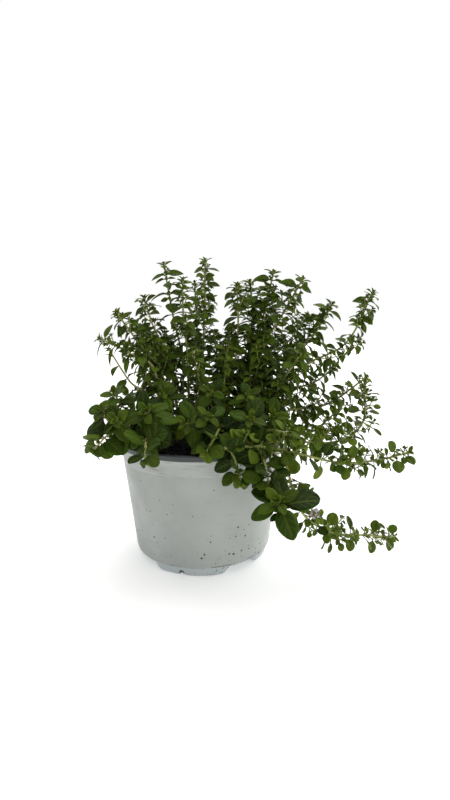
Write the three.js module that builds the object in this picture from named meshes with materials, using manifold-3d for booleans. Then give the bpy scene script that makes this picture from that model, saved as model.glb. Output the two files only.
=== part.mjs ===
// Potted thyme: a 12 cm thin-walled growing pot, its soil, and leafy stems standing in it.
// Millimetres, +Z up. The origin is the middle of the pot's underside, and -Y faces the viewer.
import * as THREE from 'three';
import { mergeVertices } from 'three/addons/utils/BufferGeometryUtils.js';
import Module from 'manifold-3d';

const wasm = await Module();
wasm.setup();

// Pot
const LIP_RADIUS = 60;
const POT_HEIGHT = 87;
const LIP_HEIGHT = 4;
const WALL = 1.2;
const WALL_TOP_RADIUS = 58;
const WALL_FOOT_RADIUS = 49.7;
const FOOT_HEIGHT = 7;
const FLOOR_UNDER = 5.5;
const FLOOR_THICKNESS = 2;
const FLOOR_TOP = FLOOR_UNDER + FLOOR_THICKNESS;
const STEP_BELOW_TOP = 14.5;
const STEP_DEPTH = 0.4;
const STEP_RISE = 1;
const LIP_EDGE = 0.6;
const LIP_FLARE = 0.5;
const FOOT_RADIUS = 46.8;
const FOOT_WIDTH = 11;
const FOOT_DRAFT = 1;
const FLOOR_ROUND = 2;
const NOTCH_COUNT = 4;
const NOTCH_SPAN = 26;
const NOTCH_TOP = 6.2;
const FIRST_NOTCH_AT = -57.5;
const PAD_RADIUS = 12;
const DRAIN_RADIUS = 4;
const DRAIN_AT_RADIUS = 39;
const SIDES = 36;
const NOTCH_SIDES = 3;
const DRAIN_SIDES = 10;
const PAD_SIDES = 16;
const CUT_PAST = 1;
// Points this close are one point.
const WELD = 1e-4;

// Soil
const SOIL_TOP = 82.5;
const SOIL_LUMP = 0.8;
// The soil's waves, as turns of their phase in radians for each millimetre along X and Y.
const SMALL_WAVE = [0.31, 0.27];
const LONG_WAVE = [0.13, -0.19];
const LONG_WAVE_SHARE = 0.6;
const SOIL_RINGS = [0.8, 0.45];
const SOIL_LEVEL_FROM = 0.9;
const GAP = 0.35;
const HOLE_DEPTH = 10;
const HOLE_MARGIN = 0.9;
const HOLE_OVER = 4;
const FOOT_GAP = 1;

// Stems and leaves
const COLLAR = 85.5;
const CURVE_STEPS = 80;
const CURVE_TENSION = 0.5;
const STEM_SPACE = 2.8;
const NUDGE = 1.5;
const NUDGES = 16;
const STEM_THICK = 1.7;
const STEM_THIN = 1.1;
const NODE_HALF = 0.55;
const INTERNODE_STEP = 14;
const TIP_RISE = 0.6;
// The first leaf pair's distance from the tip, then the share of the full gap that the next
// pair keeps, and how much that share grows from pair to pair.
const FIRST_PAIR = 0.9;
const TIP_GAP = 0.32;
const GAP_GROWTH = 0.2;
// The tip's leaves beside full-grown ones, how much more each pair has grown, and how far two
// leaves of a pair's size differ.
const TIP_LEAF = 0.6;
const LEAF_GROWTH = 0.3;
const SIZE_SPREAD = 0.3;
// Degrees between a leaf and its stem: at the tip, more for each pair, at most, and by chance.
const OPEN_AT_TIP = 56;
const OPEN_STEP = 13;
const OPEN_MOST = 92;
const OPEN_SPREAD = 16;
const LEAF_THICK = 0.9;
const CLEARANCE = 0.35;
const OVERLAP = 1e-6;
// Leaf pairs stand this many times further apart than their row says, which keeps faces few.
const LEAF_SPACING = 1.9;
// A leaf isn't tested against its own stem this near to where it grows.
const OWN_NEAR = 3;
// Where a leaf is widest and where it starts to close in, along its length, and its width there.
const WIDEST_AT = 0.4;
const CLOSING_AT = 0.77;
const CLOSING_WIDTH = 0.7;
const CLOSING_THICK = 0.8;
const CLOSING_DIP = 0.3;
// Leaves turn their faces up and away from the pot, the more so the less upright their stem is.
const LIGHT_OUTWARD = 0.6;
const TURN_TO_LIGHT = 0.6;
const TURN_MOST = 0.85;
// How far the leaves of a stem hang down from its sides, by its habit.
const HANG = { bush: 0, trail: 0.5, broad: 0.15 };
// Radians that a stem's sides turn about it in each millimetre, by its habit.
const TWIST = { bush: 0, trail: 0, broad: 0.06 };
// How far a leaf's tip droops, as a share of its length, by its habit.
const DROOP = { bush: 0.3, trail: 0.1, broad: 0.12 };
// Degrees that a leaf in the way is swung by, with its size, in the order they are tried.
const SWINGS = [[0, 1], [-14, 1], [14, 1], [-26, 0.9], [24, 0.9], [0, 0.75], [-30, 0.75],
  [26, 0.75], [-10, 0.6]];

// The one flower head, on a stalk that stands up from the lowest trailing stem.
const FLOWER_STEM = 'trail_low';
const FLOWER_AT = 0.59;
const FLOWER_STALK = 7;
const FLOWER_STALK_WIDTH = 1;
const FLOWER_PETALS = 5;
const FLOWER_RADIUS = 4;
const FLOWER_NOTCH_RADIUS = 2;
const FLOWER_THICK = 0.9;
const FLOWER_TILT = 50;

// Each row is a leafy stem: its name, its habit, its root on the soil, the points that it passes
// with its tip last, the length of its leaves, their width as a share of that length, the distance
// between leaf pairs, and the share of the stem that is bare.
const STEMS = [
  // the left half of the bush
  ['tall_left', 'bush', [-14, 8], [[-13, 8, 138], [-19, 6, 173], [-24, 5, 207]], 12, 0.56, 7.5, 0.44],
  ['tall_left_low', 'bush', [-9, -5], [[-9, -4, 143], [-11, -5, 170], [-11, -5, 196]],
    11, 0.56, 7, 0.44],
  ['tallest', 'bush', [-1, 14], [[2, 14, 140], [4, 16, 177], [5, 16, 211]], 10.5, 0.56, 6.5, 0.42],
  ['tallest_mate', 'bush', [-6, 24], [[-2, 24, 132], [-2, 26, 165], [-3, 28, 196]],
    10, 0.56, 6.5, 0.44],
  ['left_mid', 'bush', [-21, 3], [[-21, 1, 137], [-32, 0, 163], [-38, 0, 184]], 12, 0.56, 6.5, 0.42],
  ['left_high', 'bush', [-27, -6], [[-27, -6, 133], [-43, -8, 155], [-56, -10, 174]],
    12, 0.56, 6, 0.42],
  ['left_arm', 'bush', [-30, -14], [[-31, -14, 134], [-48, -16, 147], [-66, -18, 157]],
    13, 0.56, 6, 0.25],
  ['left_thread', 'bush', [-40, -6], [[-37, -10, 116], [-48, -14, 127], [-61, -16, 150]],
    11, 0.56, 14, 0.3],
  ['left_wood', 'bush', [-34, 3], [[-24, -2, 113], [-33, -6, 123], [-42, -10, 132]],
    10, 0.56, 11, 0.45],
  ['left_back', 'bush', [-24, 18], [[-25, 24, 129], [-38, 30, 152], [-52, 34, 167]],
    10.5, 0.56, 6.5, 0.42],
  // broad low leaves at the left front
  ['left_low_a', 'broad', [-45, -20], [[-53, -30, 96], [-59, -38, 105], [-61, -48, 116]],
    11, 0.78, 5, 0.35],
  ['left_low_b', 'broad', [-38, -20], [[-42, -26, 103], [-52, -30, 114], [-55, -37, 124]],
    11, 0.74, 5, 0.35],
  ['left_low_c', 'broad', [-42, -28], [[-48, -38, 97], [-57, -46, 99], [-66, -52, 91]],
    15, 0.8, 5, 0.25],
  ['left_low_d', 'broad', [-36, -35], [[-42, -41, 99], [-48, -49, 106], [-51, -58, 110]],
    13, 0.78, 5, 0.25],
  ['left_low_e', 'broad', [-29, -42], [[-31, -48, 97], [-33, -60, 99], [-33, -71, 89]],
    14, 0.8, 5.5, 0.25],
  ['left_rosette', 'broad', [-28, -32], [[-31, -42, 101], [-32, -50, 109], [-33, -60, 115]],
    17, 0.64, 5, 0.2],
  ['left_bright', 'broad', [-20, -22], [[-19, -28, 108], [-22, -32, 117], [-24, -40, 123]],
    11.5, 0.64, 5, 0.2],
  // the middle of the front
  ['front_a', 'broad', [2, -20], [[7, -25, 109], [7, -30, 118], [6, -38, 124]], 12, 0.62, 5, 0.2],
  ['front_b', 'broad', [20, -19], [[29, -27, 106], [30, -33, 115], [30, -41, 122]], 12, 0.62, 5, 0.2],
  ['front_c', 'broad', [32, -20], [[45, -28, 99], [45, -36, 103], [45, -46, 108]], 14, 0.64, 6, 0.2],
  ['front_leaf', 'broad', [9, -35], [[11, -46, 100], [8, -56, 98], [2.5, -64, 91]], 15, 0.84, 9, 0.4],
  ['front_d', 'broad', [-5, -30], [[0, -37, 97], [2, -43, 104], [5, -53, 111]], 13, 0.64, 5.5, 0.2],
  ['front_e', 'broad', [17, -30], [[26, -42, 97], [29, -50, 104], [29, -60, 110]], 14, 0.62, 5.5, 0.2],
  ['front_left', 'broad', [8, -30], [[2, -36, 100], [-3, -43, 104], [-10, -51, 105]],
    18, 0.62, 8, 0.35],
  // low on the right, over the rim
  ['right_dark', 'broad', [25, -42], [[30, -58, 93], [35, -70, 90], [38, -78, 74]], 13, 0.78, 4.5, 0.2],
  ['right_dark_side', 'broad', [14, -46], [[16, -59, 91], [19, -70, 88], [22, -77, 76]],
    12.5, 0.78, 4.5, 0.25],
  ['hanging', 'broad', [33, -36], [[36, -57, 92], [41, -71, 86], [45, -80, 74], [44, -86, 65],
    [40, -94, 71]], 19, 0.58, 3.8, 0.79],
  ['trail_long', 'trail', [3, -43], [[10, -60, 92], [40, -67, 94], [82, -58, 81], [108, -54, 80],
    [131, -52, 84]], 12, 0.7, 9, 0.22],
  ['trail_up', 'trail', [28, -28], [[44, -46, 99], [66, -52, 92], [90, -48, 92], [104, -44, 103],
    [106, -38, 127]], 11, 0.52, 7, 0.25],
  ['trail_low', 'trail', [37, -30], [[48, -53, 92], [51, -67, 78], [60, -67, 52], [80, -62, 36],
    [104, -56, 30], [125, -52, 26]], 11, 0.64, 9, 0.35],
  ['right_arch', 'bush', [47, -8], [[58, -20, 105], [86, -22, 110], [113, -24, 129]],
    11, 0.6, 6.5, 0.3],
  ['right_broad', 'trail', [45, -17], [[58, -32, 93], [72, -36, 94], [89, -38, 109]],
    13.5, 0.52, 9, 0.3],
  ['right_low', 'trail', [39, -24], [[54, -38, 97], [70, -46, 94], [87, -50, 101]], 12, 0.54, 9, 0.3],
  // the right half of the bush
  ['right_first', 'bush', [14, 0], [[25, -2, 141], [27, -4, 168], [26, -5, 192]], 11.5, 0.6, 6, 0.18],
  ['right_second', 'bush', [22, 12], [[35, 12, 140], [39, 12, 168], [37, 12, 195]], 12, 0.6, 6, 0.18],
  ['right_third', 'bush', [26, 3], [[39, 3, 141], [46, 3, 172], [53, 4, 201]], 12, 0.6, 5.5, 0.18],
  ['right_fourth', 'bush', [30, -5], [[43, -7, 145], [56, -8, 169], [71, -9, 195]],
    12.5, 0.6, 5.5, 0.16],
  ['right_fifth', 'bush', [37, 8], [[62, 9, 134], [82, 10, 153], [98, 12, 179]], 12, 0.6, 5.2, 0.18],
  ['right_sixth', 'bush', [29, 20], [[57, 20, 139], [71, 22, 155], [83, 24, 171]],
    11.5, 0.6, 5.2, 0.18],
  ['right_far', 'bush', [38, -6], [[66, -10, 131], [101, -12, 151], [119, -12, 186]],
    10.5, 0.6, 7, 0.22],
  ['right_out', 'bush', [47, 2], [[67, 2, 115], [84, 0, 123], [99, 0, 135]], 10.5, 0.6, 6, 0.22],
  ['right_fill', 'bush', [36, -14], [[52, -18, 119], [60, -20, 133], [69, -22, 147]],
    12.5, 0.6, 5.5, 0.2],
  // shorter stems between the two halves
  ['mid_a', 'bush', [6, 8], [[12, 8, 130], [12, 10, 146], [10, 10, 160]], 11.5, 0.6, 6, 0.12],
  ['mid_b', 'bush', [10, -10], [[16, -14, 124], [17, -16, 140], [19, -18, 152]], 11.5, 0.6, 6, 0.12],
  ['mid_c', 'bush', [-8, -14], [[-1, -18, 123], [-3, -20, 138], [-5, -22, 149]], 11.5, 0.6, 6, 0.12],
];

// The back of the bush repeats the front's habit: outer stems lean out, inner ones stand.
const BACK_STEMS = 13;
const BACK_FROM = 8;
const BACK_TO = 172;
const BACK_LEAF = 9.5;
const BACK_RATIO = 0.56;
const BACK_GAP = 6.5;
const BACK_BARE = 0.2;
// How far the roots, reaches, heights and leaf lengths of the back stems differ by chance.
const BACK_SPREADS = { root: 3, reach: 6, top: 10, leaf: 2 };
// How far out the lower and the upper bend are, as shares of the way from root to tip.
const BACK_LOWER_OUT = 0.15;
const BACK_UPPER_OUT = 0.5;
// Three kinds in turn: how far from the pot's axis each is rooted and its tip reaches, how high
// that tip is, and how far up the lower and the upper bend are, as shares of its rise.
const BACK_KINDS = [
  { root: 30, reach: 42, top: 160, lower: 0.42, upper: 0.75 },
  { root: 42, reach: 66, top: 143, lower: 0.5, upper: 0.85 },
  { root: 47, reach: 72, top: 108, lower: 0.75, upper: 1.15 },
];

const up = new THREE.Vector3(0, 0, 1);
const vec = (p) => new THREE.Vector3(...p);

// A seeded draw between 0 and 1, the same for the same three numbers.
function draw(a, b, c) {
  const s = Math.sin(a * 12.9898 + b * 78.233 + c * 37.719) * 43758.5453;
  return s - Math.floor(s);
}

function backStems() {
  const rows = [];
  for (let i = 0; i < BACK_STEMS; i += 1) {
    const angle = THREE.MathUtils.degToRad(
      BACK_FROM + (BACK_TO - BACK_FROM) * (i + 0.5) / BACK_STEMS);
    const kind = BACK_KINDS[i % BACK_KINDS.length];
    const root = kind.root - BACK_SPREADS.root * draw(i, 1, 9);
    const reach = kind.reach + BACK_SPREADS.reach * (draw(i, 2, 9) - 0.5);
    const rise = kind.top + BACK_SPREADS.top * (draw(i, 3, 9) - 0.5) - COLLAR;
    const at = (out, share) => {
      const r = root + (reach - root) * out;
      return [r * Math.cos(angle), r * Math.sin(angle), COLLAR + rise * share];
    };
    rows.push([`back_${i + 1}`, 'bush', at(0, 0).slice(0, 2),
      [at(BACK_LOWER_OUT, kind.lower), at(BACK_UPPER_OUT, kind.upper), at(1, 1)],
      BACK_LEAF + BACK_SPREADS.leaf * draw(i, 4, 9), BACK_RATIO, BACK_GAP, BACK_BARE]);
  }
  return rows;
}

// ---- closed meshes and booleans ----

function solidOf(vertices, triangles) {
  return new wasm.Manifold(new wasm.Mesh({
    numProp: 3,
    vertProperties: Float32Array.from(vertices.flatMap((v) => [v.x, v.y, v.z])),
    triVerts: Uint32Array.from(triangles.flat()),
  }));
}

function solidFrom(geometry) {
  const plain = geometry.clone();
  plain.deleteAttribute('normal');
  plain.deleteAttribute('uv');
  const merged = mergeVertices(plain, WELD);
  const { array } = merged.attributes.position;
  const triVerts = [];
  const { array: index } = merged.index;
  for (let i = 0; i < index.length; i += 3) {
    const [a, b, c] = [index[i], index[i + 1], index[i + 2]];
    if (a !== b && b !== c && c !== a) triVerts.push(a, b, c);
  }
  return new wasm.Manifold(new wasm.Mesh({
    numProp: 3,
    vertProperties: new Float32Array(array),
    triVerts: Uint32Array.from(triVerts),
  }));
}

function geometryOf(solid) {
  const { vertProperties, numProp, triVerts } = solid.getMesh();
  const positions = [];
  for (let i = 0; i < vertProperties.length; i += numProp) {
    positions.push(vertProperties[i], vertProperties[i + 1], vertProperties[i + 2]);
  }
  const geometry = new THREE.BufferGeometry();
  geometry.setAttribute('position', new THREE.Float32BufferAttribute(positions, 3));
  geometry.setIndex(Array.from(triVerts));
  geometry.computeVertexNormals();
  return geometry;
}

// A lathe turned about Z from [radius, height] points that go up the outside and down the inside.
function turned(points) {
  const profile = points.map(([r, z]) => new THREE.Vector2(r, z));
  return new THREE.LatheGeometry(profile, SIDES).rotateX(Math.PI / 2);
}

// ---- pot ----

function innerRadius(z) {
  const share = (z - FOOT_HEIGHT) / (POT_HEIGHT - LIP_HEIGHT - FOOT_HEIGHT);
  return WALL_FOOT_RADIUS + (WALL_TOP_RADIUS - WALL_FOOT_RADIUS) * share - WALL;
}

function makePot() {
  const lipUnder = POT_HEIGHT - LIP_HEIGHT;
  const stepAt = POT_HEIGHT - STEP_BELOW_TOP;
  const outer = (z) => innerRadius(z) + WALL;
  let pot = solidFrom(turned([
    [0, FLOOR_UNDER],
    [FOOT_RADIUS - FOOT_WIDTH - FOOT_DRAFT, FLOOR_UNDER],
    [FOOT_RADIUS - FOOT_WIDTH, 0],
    [FOOT_RADIUS, 0],
    [WALL_FOOT_RADIUS, FOOT_HEIGHT],
    [outer(stepAt) - STEP_DEPTH, stepAt - STEP_RISE],
    [outer(stepAt), stepAt],
    [WALL_TOP_RADIUS, lipUnder - LIP_FLARE],
    [LIP_RADIUS, lipUnder],
    [LIP_RADIUS, POT_HEIGHT - LIP_EDGE],
    [LIP_RADIUS - LIP_EDGE, POT_HEIGHT],
    [WALL_TOP_RADIUS, POT_HEIGHT],
    [innerRadius(lipUnder), lipUnder],
    [innerRadius(FLOOR_TOP + FLOOR_ROUND), FLOOR_TOP + FLOOR_ROUND],
    [FOOT_RADIUS - FOOT_DRAFT, FLOOR_TOP],
    [0, FLOOR_TOP],
  ]));
  for (let i = 0; i < NOTCH_COUNT; i += 1) {
    const middle = THREE.MathUtils.degToRad(FIRST_NOTCH_AT + i * 360 / NOTCH_COUNT);
    const half = THREE.MathUtils.degToRad(NOTCH_SPAN / 2);
    const sector = new THREE.Shape();
    sector.absarc(0, 0, LIP_RADIUS, middle - half, middle + half, false);
    const inside = FOOT_RADIUS - FOOT_WIDTH - FOOT_DRAFT - CUT_PAST;
    sector.absarc(0, 0, inside, middle + half, middle - half, true);
    const notch = new THREE.ExtrudeGeometry(sector, {
      depth: NOTCH_TOP + CUT_PAST, bevelEnabled: false, curveSegments: NOTCH_SIDES,
    }).translate(0, 0, -CUT_PAST);
    pot = pot.subtract(solidFrom(notch));
    const drain = new THREE.CylinderGeometry(
      DRAIN_RADIUS, DRAIN_RADIUS, 2 * (FLOOR_THICKNESS + CUT_PAST), DRAIN_SIDES)
      .rotateX(Math.PI / 2)
      .translate(DRAIN_AT_RADIUS * Math.cos(middle), DRAIN_AT_RADIUS * Math.sin(middle), FLOOR_TOP);
    pot = pot.subtract(solidFrom(drain));
  }
  const padHeight = FLOOR_UNDER + FLOOR_THICKNESS / 2;
  const pad = new THREE.CylinderGeometry(PAD_RADIUS, PAD_RADIUS, padHeight, PAD_SIDES)
    .rotateX(Math.PI / 2).translate(0, 0, padHeight / 2);
  return pot.add(solidFrom(pad));
}

// ---- soil ----

// How high the soil stands at a place: two sets of broad waves, about 20 and 30 mm long.
function lumpAt(x, y) {
  const small = Math.sin(x * SMALL_WAVE[0] + 1) * Math.sin(y * SMALL_WAVE[1]);
  const long = Math.sin(x * LONG_WAVE[0] + y * LONG_WAVE[1]);
  return SOIL_LUMP * (small + LONG_WAVE_SHARE * long);
}

function makeSoil(roots) {
  const rim = innerRadius(SOIL_TOP) - GAP;
  const soil = turned([
    [0, FLOOR_TOP + GAP],
    [FOOT_RADIUS - FOOT_DRAFT - GAP, FLOOR_TOP + GAP],
    [innerRadius(FLOOR_TOP + FLOOR_ROUND) - GAP, FLOOR_TOP + FLOOR_ROUND + GAP],
    [rim, SOIL_TOP],
    ...SOIL_RINGS.map((share) => [rim * share, SOIL_TOP]),
    [0, SOIL_TOP],
  ]);
  const { position } = soil.attributes;
  for (let i = 0; i < position.count; i += 1) {
    const [x, y, z] = [position.getX(i), position.getY(i), position.getZ(i)];
    if (z > SOIL_TOP - GAP && Math.hypot(x, y) < rim * SOIL_LEVEL_FROM) {
      position.setZ(i, SOIL_TOP + lumpAt(x, y));
    }
  }
  let block = solidFrom(soil);
  const side = STEM_THICK + 2 * HOLE_MARGIN;
  for (const [x, y] of roots) {
    const hole = new THREE.BoxGeometry(side, side, HOLE_DEPTH + HOLE_OVER);
    hole.translate(x, y, SOIL_TOP + (HOLE_OVER - HOLE_DEPTH) / 2);
    block = block.subtract(solidFrom(hole));
  }
  return block;
}

// ---- stems ----

// A stem's centre line with a frame along it: along, across and third.
function frameAlong(root, points, turn, twist = 0) {
  const start = new THREE.Vector3(root[0], root[1], COLLAR);
  const curve = new THREE.CatmullRomCurve3(
    [start, ...points.map(vec)], false, 'catmullrom', CURVE_TENSION);
  const line = curve.getPoints(CURVE_STEPS);
  const stations = [];
  let across = new THREE.Vector3(Math.cos(turn), Math.sin(turn), 0);
  let s = 0;
  line.forEach((at, i) => {
    const before = line[Math.max(i - 1, 0)];
    const along = line[Math.min(i + 1, CURVE_STEPS)].clone().sub(before).normalize();
    across = across.clone().addScaledVector(along, -across.dot(along)).normalize();
    if (i) s += at.distanceTo(before);
    stations.push({ at, along, across, s });
  });
  return { stations, length: s, twist };
}

function stationAt({ stations, twist }, s) {
  let i = 0;
  while (i < stations.length - 2 && stations[i + 1].s < s) i += 1;
  const [a, b] = [stations[i], stations[i + 1]];
  const share = THREE.MathUtils.clamp((s - a.s) / (b.s - a.s), 0, 1);
  const along = a.along.clone().lerp(b.along, share).normalize();
  const across = a.across.clone().lerp(b.across, share);
  across.addScaledVector(along, -across.dot(along)).normalize().applyAxisAngle(along, twist * s);
  return { at: a.at.clone().lerp(b.at, share), along, across, third: along.clone().cross(across) };
}

const settled = [];

// A stem that would pass too close to an earlier one is bent a little nearer or further back.
function settle(row) {
  const [, , root, points] = row;
  let line;
  let moved;
  for (let i = 0; i <= NUDGES; i += 1) {
    const shift = NUDGE * Math.ceil(i / 2) * (i % 2 ? 1 : -1);
    moved = points.map(([x, y, z]) => [x, y + shift, z]);
    line = frameAlong(root, moved, 0).stations.map((station) => station.at);
    const close = settled.some((other) => other.some((p) => line.some(
      (q) => p.distanceTo(q) < STEM_SPACE)));
    if (!close) break;
  }
  settled.push(line);
  return row.with(3, moved);
}

// Distances from the tip back to each leaf pair: close at the tip, then a steady gap.
function pairDistances(length, gap, bare) {
  const distances = [FIRST_PAIR];
  let share = TIP_GAP;
  while (distances.at(-1) + gap * share < length * (1 - bare)) {
    distances.push(distances.at(-1) + gap * share);
    share = Math.min(share + GAP_GROWTH, 1);
  }
  return distances;
}

// A leaf's points: left, right and ridge where it is widest, for all but the bush's leaves again
// where it closes in, and then its tip.
function leafPoints(root, out, top, length, width, thick, habit) {
  const right = top.clone().cross(out);
  const point = (u, v, w) => root.clone().addScaledVector(out, u * length)
    .addScaledVector(right, v * width / 2).addScaledVector(top, w);
  const droop = DROOP[habit] * length;
  const dip = -CLOSING_DIP * droop;
  const points = [point(WIDEST_AT, -1, 0), point(WIDEST_AT, 1, 0), point(WIDEST_AT, 0, thick)];
  if (habit !== 'bush') {
    points.push(point(CLOSING_AT, -CLOSING_WIDTH, dip), point(CLOSING_AT, CLOSING_WIDTH, dip),
      point(CLOSING_AT, 0, thick * CLOSING_THICK + dip));
  }
  return [...points, point(1, 0, -droop)];
}

// Triangles of a leaf on the four corners of a stem's side: lower left, lower right, upper
// right and upper left as seen from outside, then the leaf's points, which end at last.
function leafTriangles([p0, p1, p2, p3], first, last) {
  let [l, r, m] = [first, first + 1, first + 2];
  const triangles = [
    [p0, p1, r], [p0, r, l], [p0, l, p3], [p3, l, m], [p3, m, p2], [p2, m, r], [p1, p2, r],
  ];
  for (let next = first + 3; next < last; next += 3) {
    const [l2, r2, m2] = [next, next + 1, next + 2];
    triangles.push([l, r, r2], [l, r2, l2], [l, l2, m], [l2, m2, m], [r, m, r2], [m, m2, r2]);
    [l, r, m] = [l2, r2, m2];
  }
  triangles.push([l, r, last], [l, last, m], [r, m, last]);
  return triangles;
}

const placed = [];

function boxOf(points) {
  return new THREE.Box3().setFromPoints(points);
}

// True if a body meets one that is already placed, apart from those that are its own.
function touches(body, box, isOwn) {
  return placed.some((other) => !isOwn(other) && other.box.intersectsBox(box)
    && body.intersect(other.body).volume() > OVERLAP);
}

function ringCorners(station, half) {
  return [[1, 1], [-1, 1], [-1, -1], [1, -1]].map(([a, b]) => station.at.clone()
    .addScaledVector(station.across, a * half).addScaledVector(station.third, b * half));
}

function segmentSolid(lower, upper) {
  const triangles = [];
  for (let j = 0; j < 4; j += 1) {
    const k = (j + 1) % 4;
    triangles.push([j, k, 4 + k], [j, 4 + k, 4 + j]);
  }
  triangles.push([0, 2, 1], [0, 3, 2], [4, 5, 6], [4, 6, 7]);
  return solidOf([...lower, ...upper], triangles);
}

// The rings of a stem: straight down in its hole, then along its line, with two close rings at
// each leaf pair.
function planStem(row, index) {
  const [name, habit, root, points, , , gap, bare] = row;
  const path = frameAlong(root, points, draw(index, 1, 1) * Math.PI / 2, TWIST[habit]);
  const halfAt = (s) => THREE.MathUtils.lerp(STEM_THICK, STEM_THIN, Math.max(s, 0) / path.length) / 2;
  const pairs = pairDistances(path.length, gap * LEAF_SPACING, bare)
    .map((distance, k) => ({ s: path.length - distance - NODE_HALF, k })).reverse();
  const levels = [];
  let s = 0;
  for (const pair of pairs) {
    const space = pair.s - NODE_HALF - s;
    const steps = Math.max(1, Math.ceil(space / INTERNODE_STEP));
    for (let i = 0; i < steps; i += 1) levels.push({ s: s + space * i / steps });
    levels.push({ s: pair.s - NODE_HALF, pair });
    s = pair.s + NODE_HALF;
  }
  levels.push({ s });
  const rings = levels.map((level) => ({ ...level, station: stationAt(path, level.s) }));
  const flat = rings[0].station.across.clone().setZ(0).normalize();
  const foot = new THREE.Vector3(root[0], root[1], SOIL_TOP - HOLE_DEPTH + FOOT_GAP);
  rings.unshift({ s: -HOLE_DEPTH, station: { at: foot, across: flat, third: up.clone().cross(flat) } });
  for (const ring of rings) ring.corners = ringCorners(ring.station, halfAt(ring.s));
  const end = rings.at(-1).station;
  const past = { ...end, at: end.at.clone().addScaledVector(end.along, TIP_RISE + CLEARANCE) };
  const bodies = [...rings, { s: path.length, station: past }];
  for (let i = 0; i + 1 < bodies.length; i += 1) {
    const [lower, upper] = [bodies[i], bodies[i + 1]].map(
      (ring) => ringCorners(ring.station, halfAt(ring.s) + CLEARANCE));
    const body = segmentSolid(lower, upper);
    placed.push({ body, box: boxOf([...lower, ...upper]), owner: name, s: bodies[i].s });
  }
  return { row, index, path, rings };
}

// A leaf grown from one side of a stem, swung or made smaller until it is clear of the rest.
function growLeaf(plan, quad, vertices, pair, side) {
  const [name, habit, , , leafLength, leafWidth] = plan.row;
  const station = stationAt(plan.path, pair.s);
  const facing = [station.third, station.across.clone().negate(),
    station.third.clone().negate(), station.across][side];
  const corners = quad.map((v) => vertices[v]);
  const middle = corners.reduce((sum, p) => sum.add(p), new THREE.Vector3()).divideScalar(4);
  const grown = Math.min(1, TIP_LEAF + LEAF_GROWTH * pair.k)
    * (1 + SIZE_SPREAD * (draw(plan.index, pair.k, 5) - 0.5));
  const open = Math.min(OPEN_MOST, OPEN_AT_TIP + OPEN_STEP * pair.k)
    + OPEN_SPREAD * (draw(plan.index, pair.k, 6) - 0.5);
  const hang = HANG[habit] * (1 - Math.abs(station.along.z));
  const { x, y } = station.at;
  const light = new THREE.Vector3(x, y, 0)
    .multiplyScalar(LIGHT_OUTWARD / Math.max(Math.hypot(x, y), LIP_RADIUS)).add(up);
  const turned = Math.min(TURN_TO_LIGHT * (1 - station.along.z), TURN_MOST);
  const isOwn = (other) => other.owner === name && Math.abs(other.s - pair.s) <= OWN_NEAR;
  for (const [swing, size] of SWINGS) {
    const angle = THREE.MathUtils.degToRad(open + swing);
    const out = facing.clone().multiplyScalar(Math.sin(angle))
      .addScaledVector(station.along, Math.cos(angle)).addScaledVector(up, -hang).normalize();
    const top = station.along.clone().multiplyScalar(Math.sin(angle))
      .addScaledVector(facing, -Math.cos(angle));
    top.lerp(light, turned);
    top.addScaledVector(out, -top.dot(out)).normalize();
    const length = leafLength * grown * size;
    const leaf = leafPoints(middle, out, top, length, length * leafWidth, LEAF_THICK, habit);
    const room = leafPoints(middle.clone().addScaledVector(top, -CLEARANCE), out, top,
      length + CLEARANCE, length * leafWidth + 2 * CLEARANCE, LEAF_THICK + 2 * CLEARANCE, habit);
    const body = solidOf([...corners, ...room],
      [...leafTriangles([0, 1, 2, 3], 4, 3 + room.length), [0, 3, 2], [0, 2, 1]]);
    const box = boxOf([...corners, ...room]);
    if (!touches(body, box, isOwn)) {
      placed.push({ body, box, owner: name });
      vertices.push(...leaf);
      return leafTriangles(quad, vertices.length - leaf.length, vertices.length - 1);
    }
  }
  return null;
}

function growStem(plan) {
  const { path, rings } = plan;
  const vertices = rings.flatMap((ring) => ring.corners);
  const triangles = [[0, 2, 1], [0, 3, 2]];
  for (let i = 0; i + 1 < rings.length; i += 1) {
    const { pair } = rings[i];
    for (let j = 0; j < 4; j += 1) {
      const k = (j + 1) % 4;
      const quad = [4 * i + j, 4 * i + k, 4 * i + 4 + k, 4 * i + 4 + j];
      const leaf = pair && j % 2 === pair.k % 2 && growLeaf(plan, quad, vertices, pair, j);
      if (leaf) triangles.push(...leaf);
      else triangles.push([quad[0], quad[1], quad[2]], [quad[0], quad[2], quad[3]]);
    }
  }
  const last = 4 * (rings.length - 1);
  const end = stationAt(path, path.length);
  const top = vertices.push(end.at.clone().addScaledVector(end.along, TIP_RISE)) - 1;
  for (let j = 0; j < 4; j += 1) triangles.push([last + j, last + (j + 1) % 4, top]);
  return solidOf(vertices, triangles);
}

// ---- the flower ----

// A five-petalled head on a short stalk whose foot is sunk in the stem.
function makeFlower({ path }) {
  const { at } = stationAt(path, path.length * FLOWER_AT);
  const stalk = new THREE.BoxGeometry(FLOWER_STALK_WIDTH, FLOWER_STALK_WIDTH, FLOWER_STALK)
    .translate(at.x, at.y, at.z + FLOWER_STALK / 2);
  const star = new THREE.Shape();
  for (let i = 0; i < 2 * FLOWER_PETALS; i += 1) {
    const angle = Math.PI * i / FLOWER_PETALS;
    const radius = i % 2 ? FLOWER_NOTCH_RADIUS : FLOWER_RADIUS;
    star[i ? 'lineTo' : 'moveTo'](radius * Math.cos(angle), radius * Math.sin(angle));
  }
  const head = new THREE.ExtrudeGeometry(star, { depth: FLOWER_THICK, bevelEnabled: false })
    .translate(0, 0, -FLOWER_THICK / 2)
    .rotateX(THREE.MathUtils.degToRad(FLOWER_TILT))
    .translate(at.x, at.y, at.z + FLOWER_STALK);
  return solidFrom(stalk).add(solidFrom(head));
}

// ---- the whole plant ----

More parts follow.
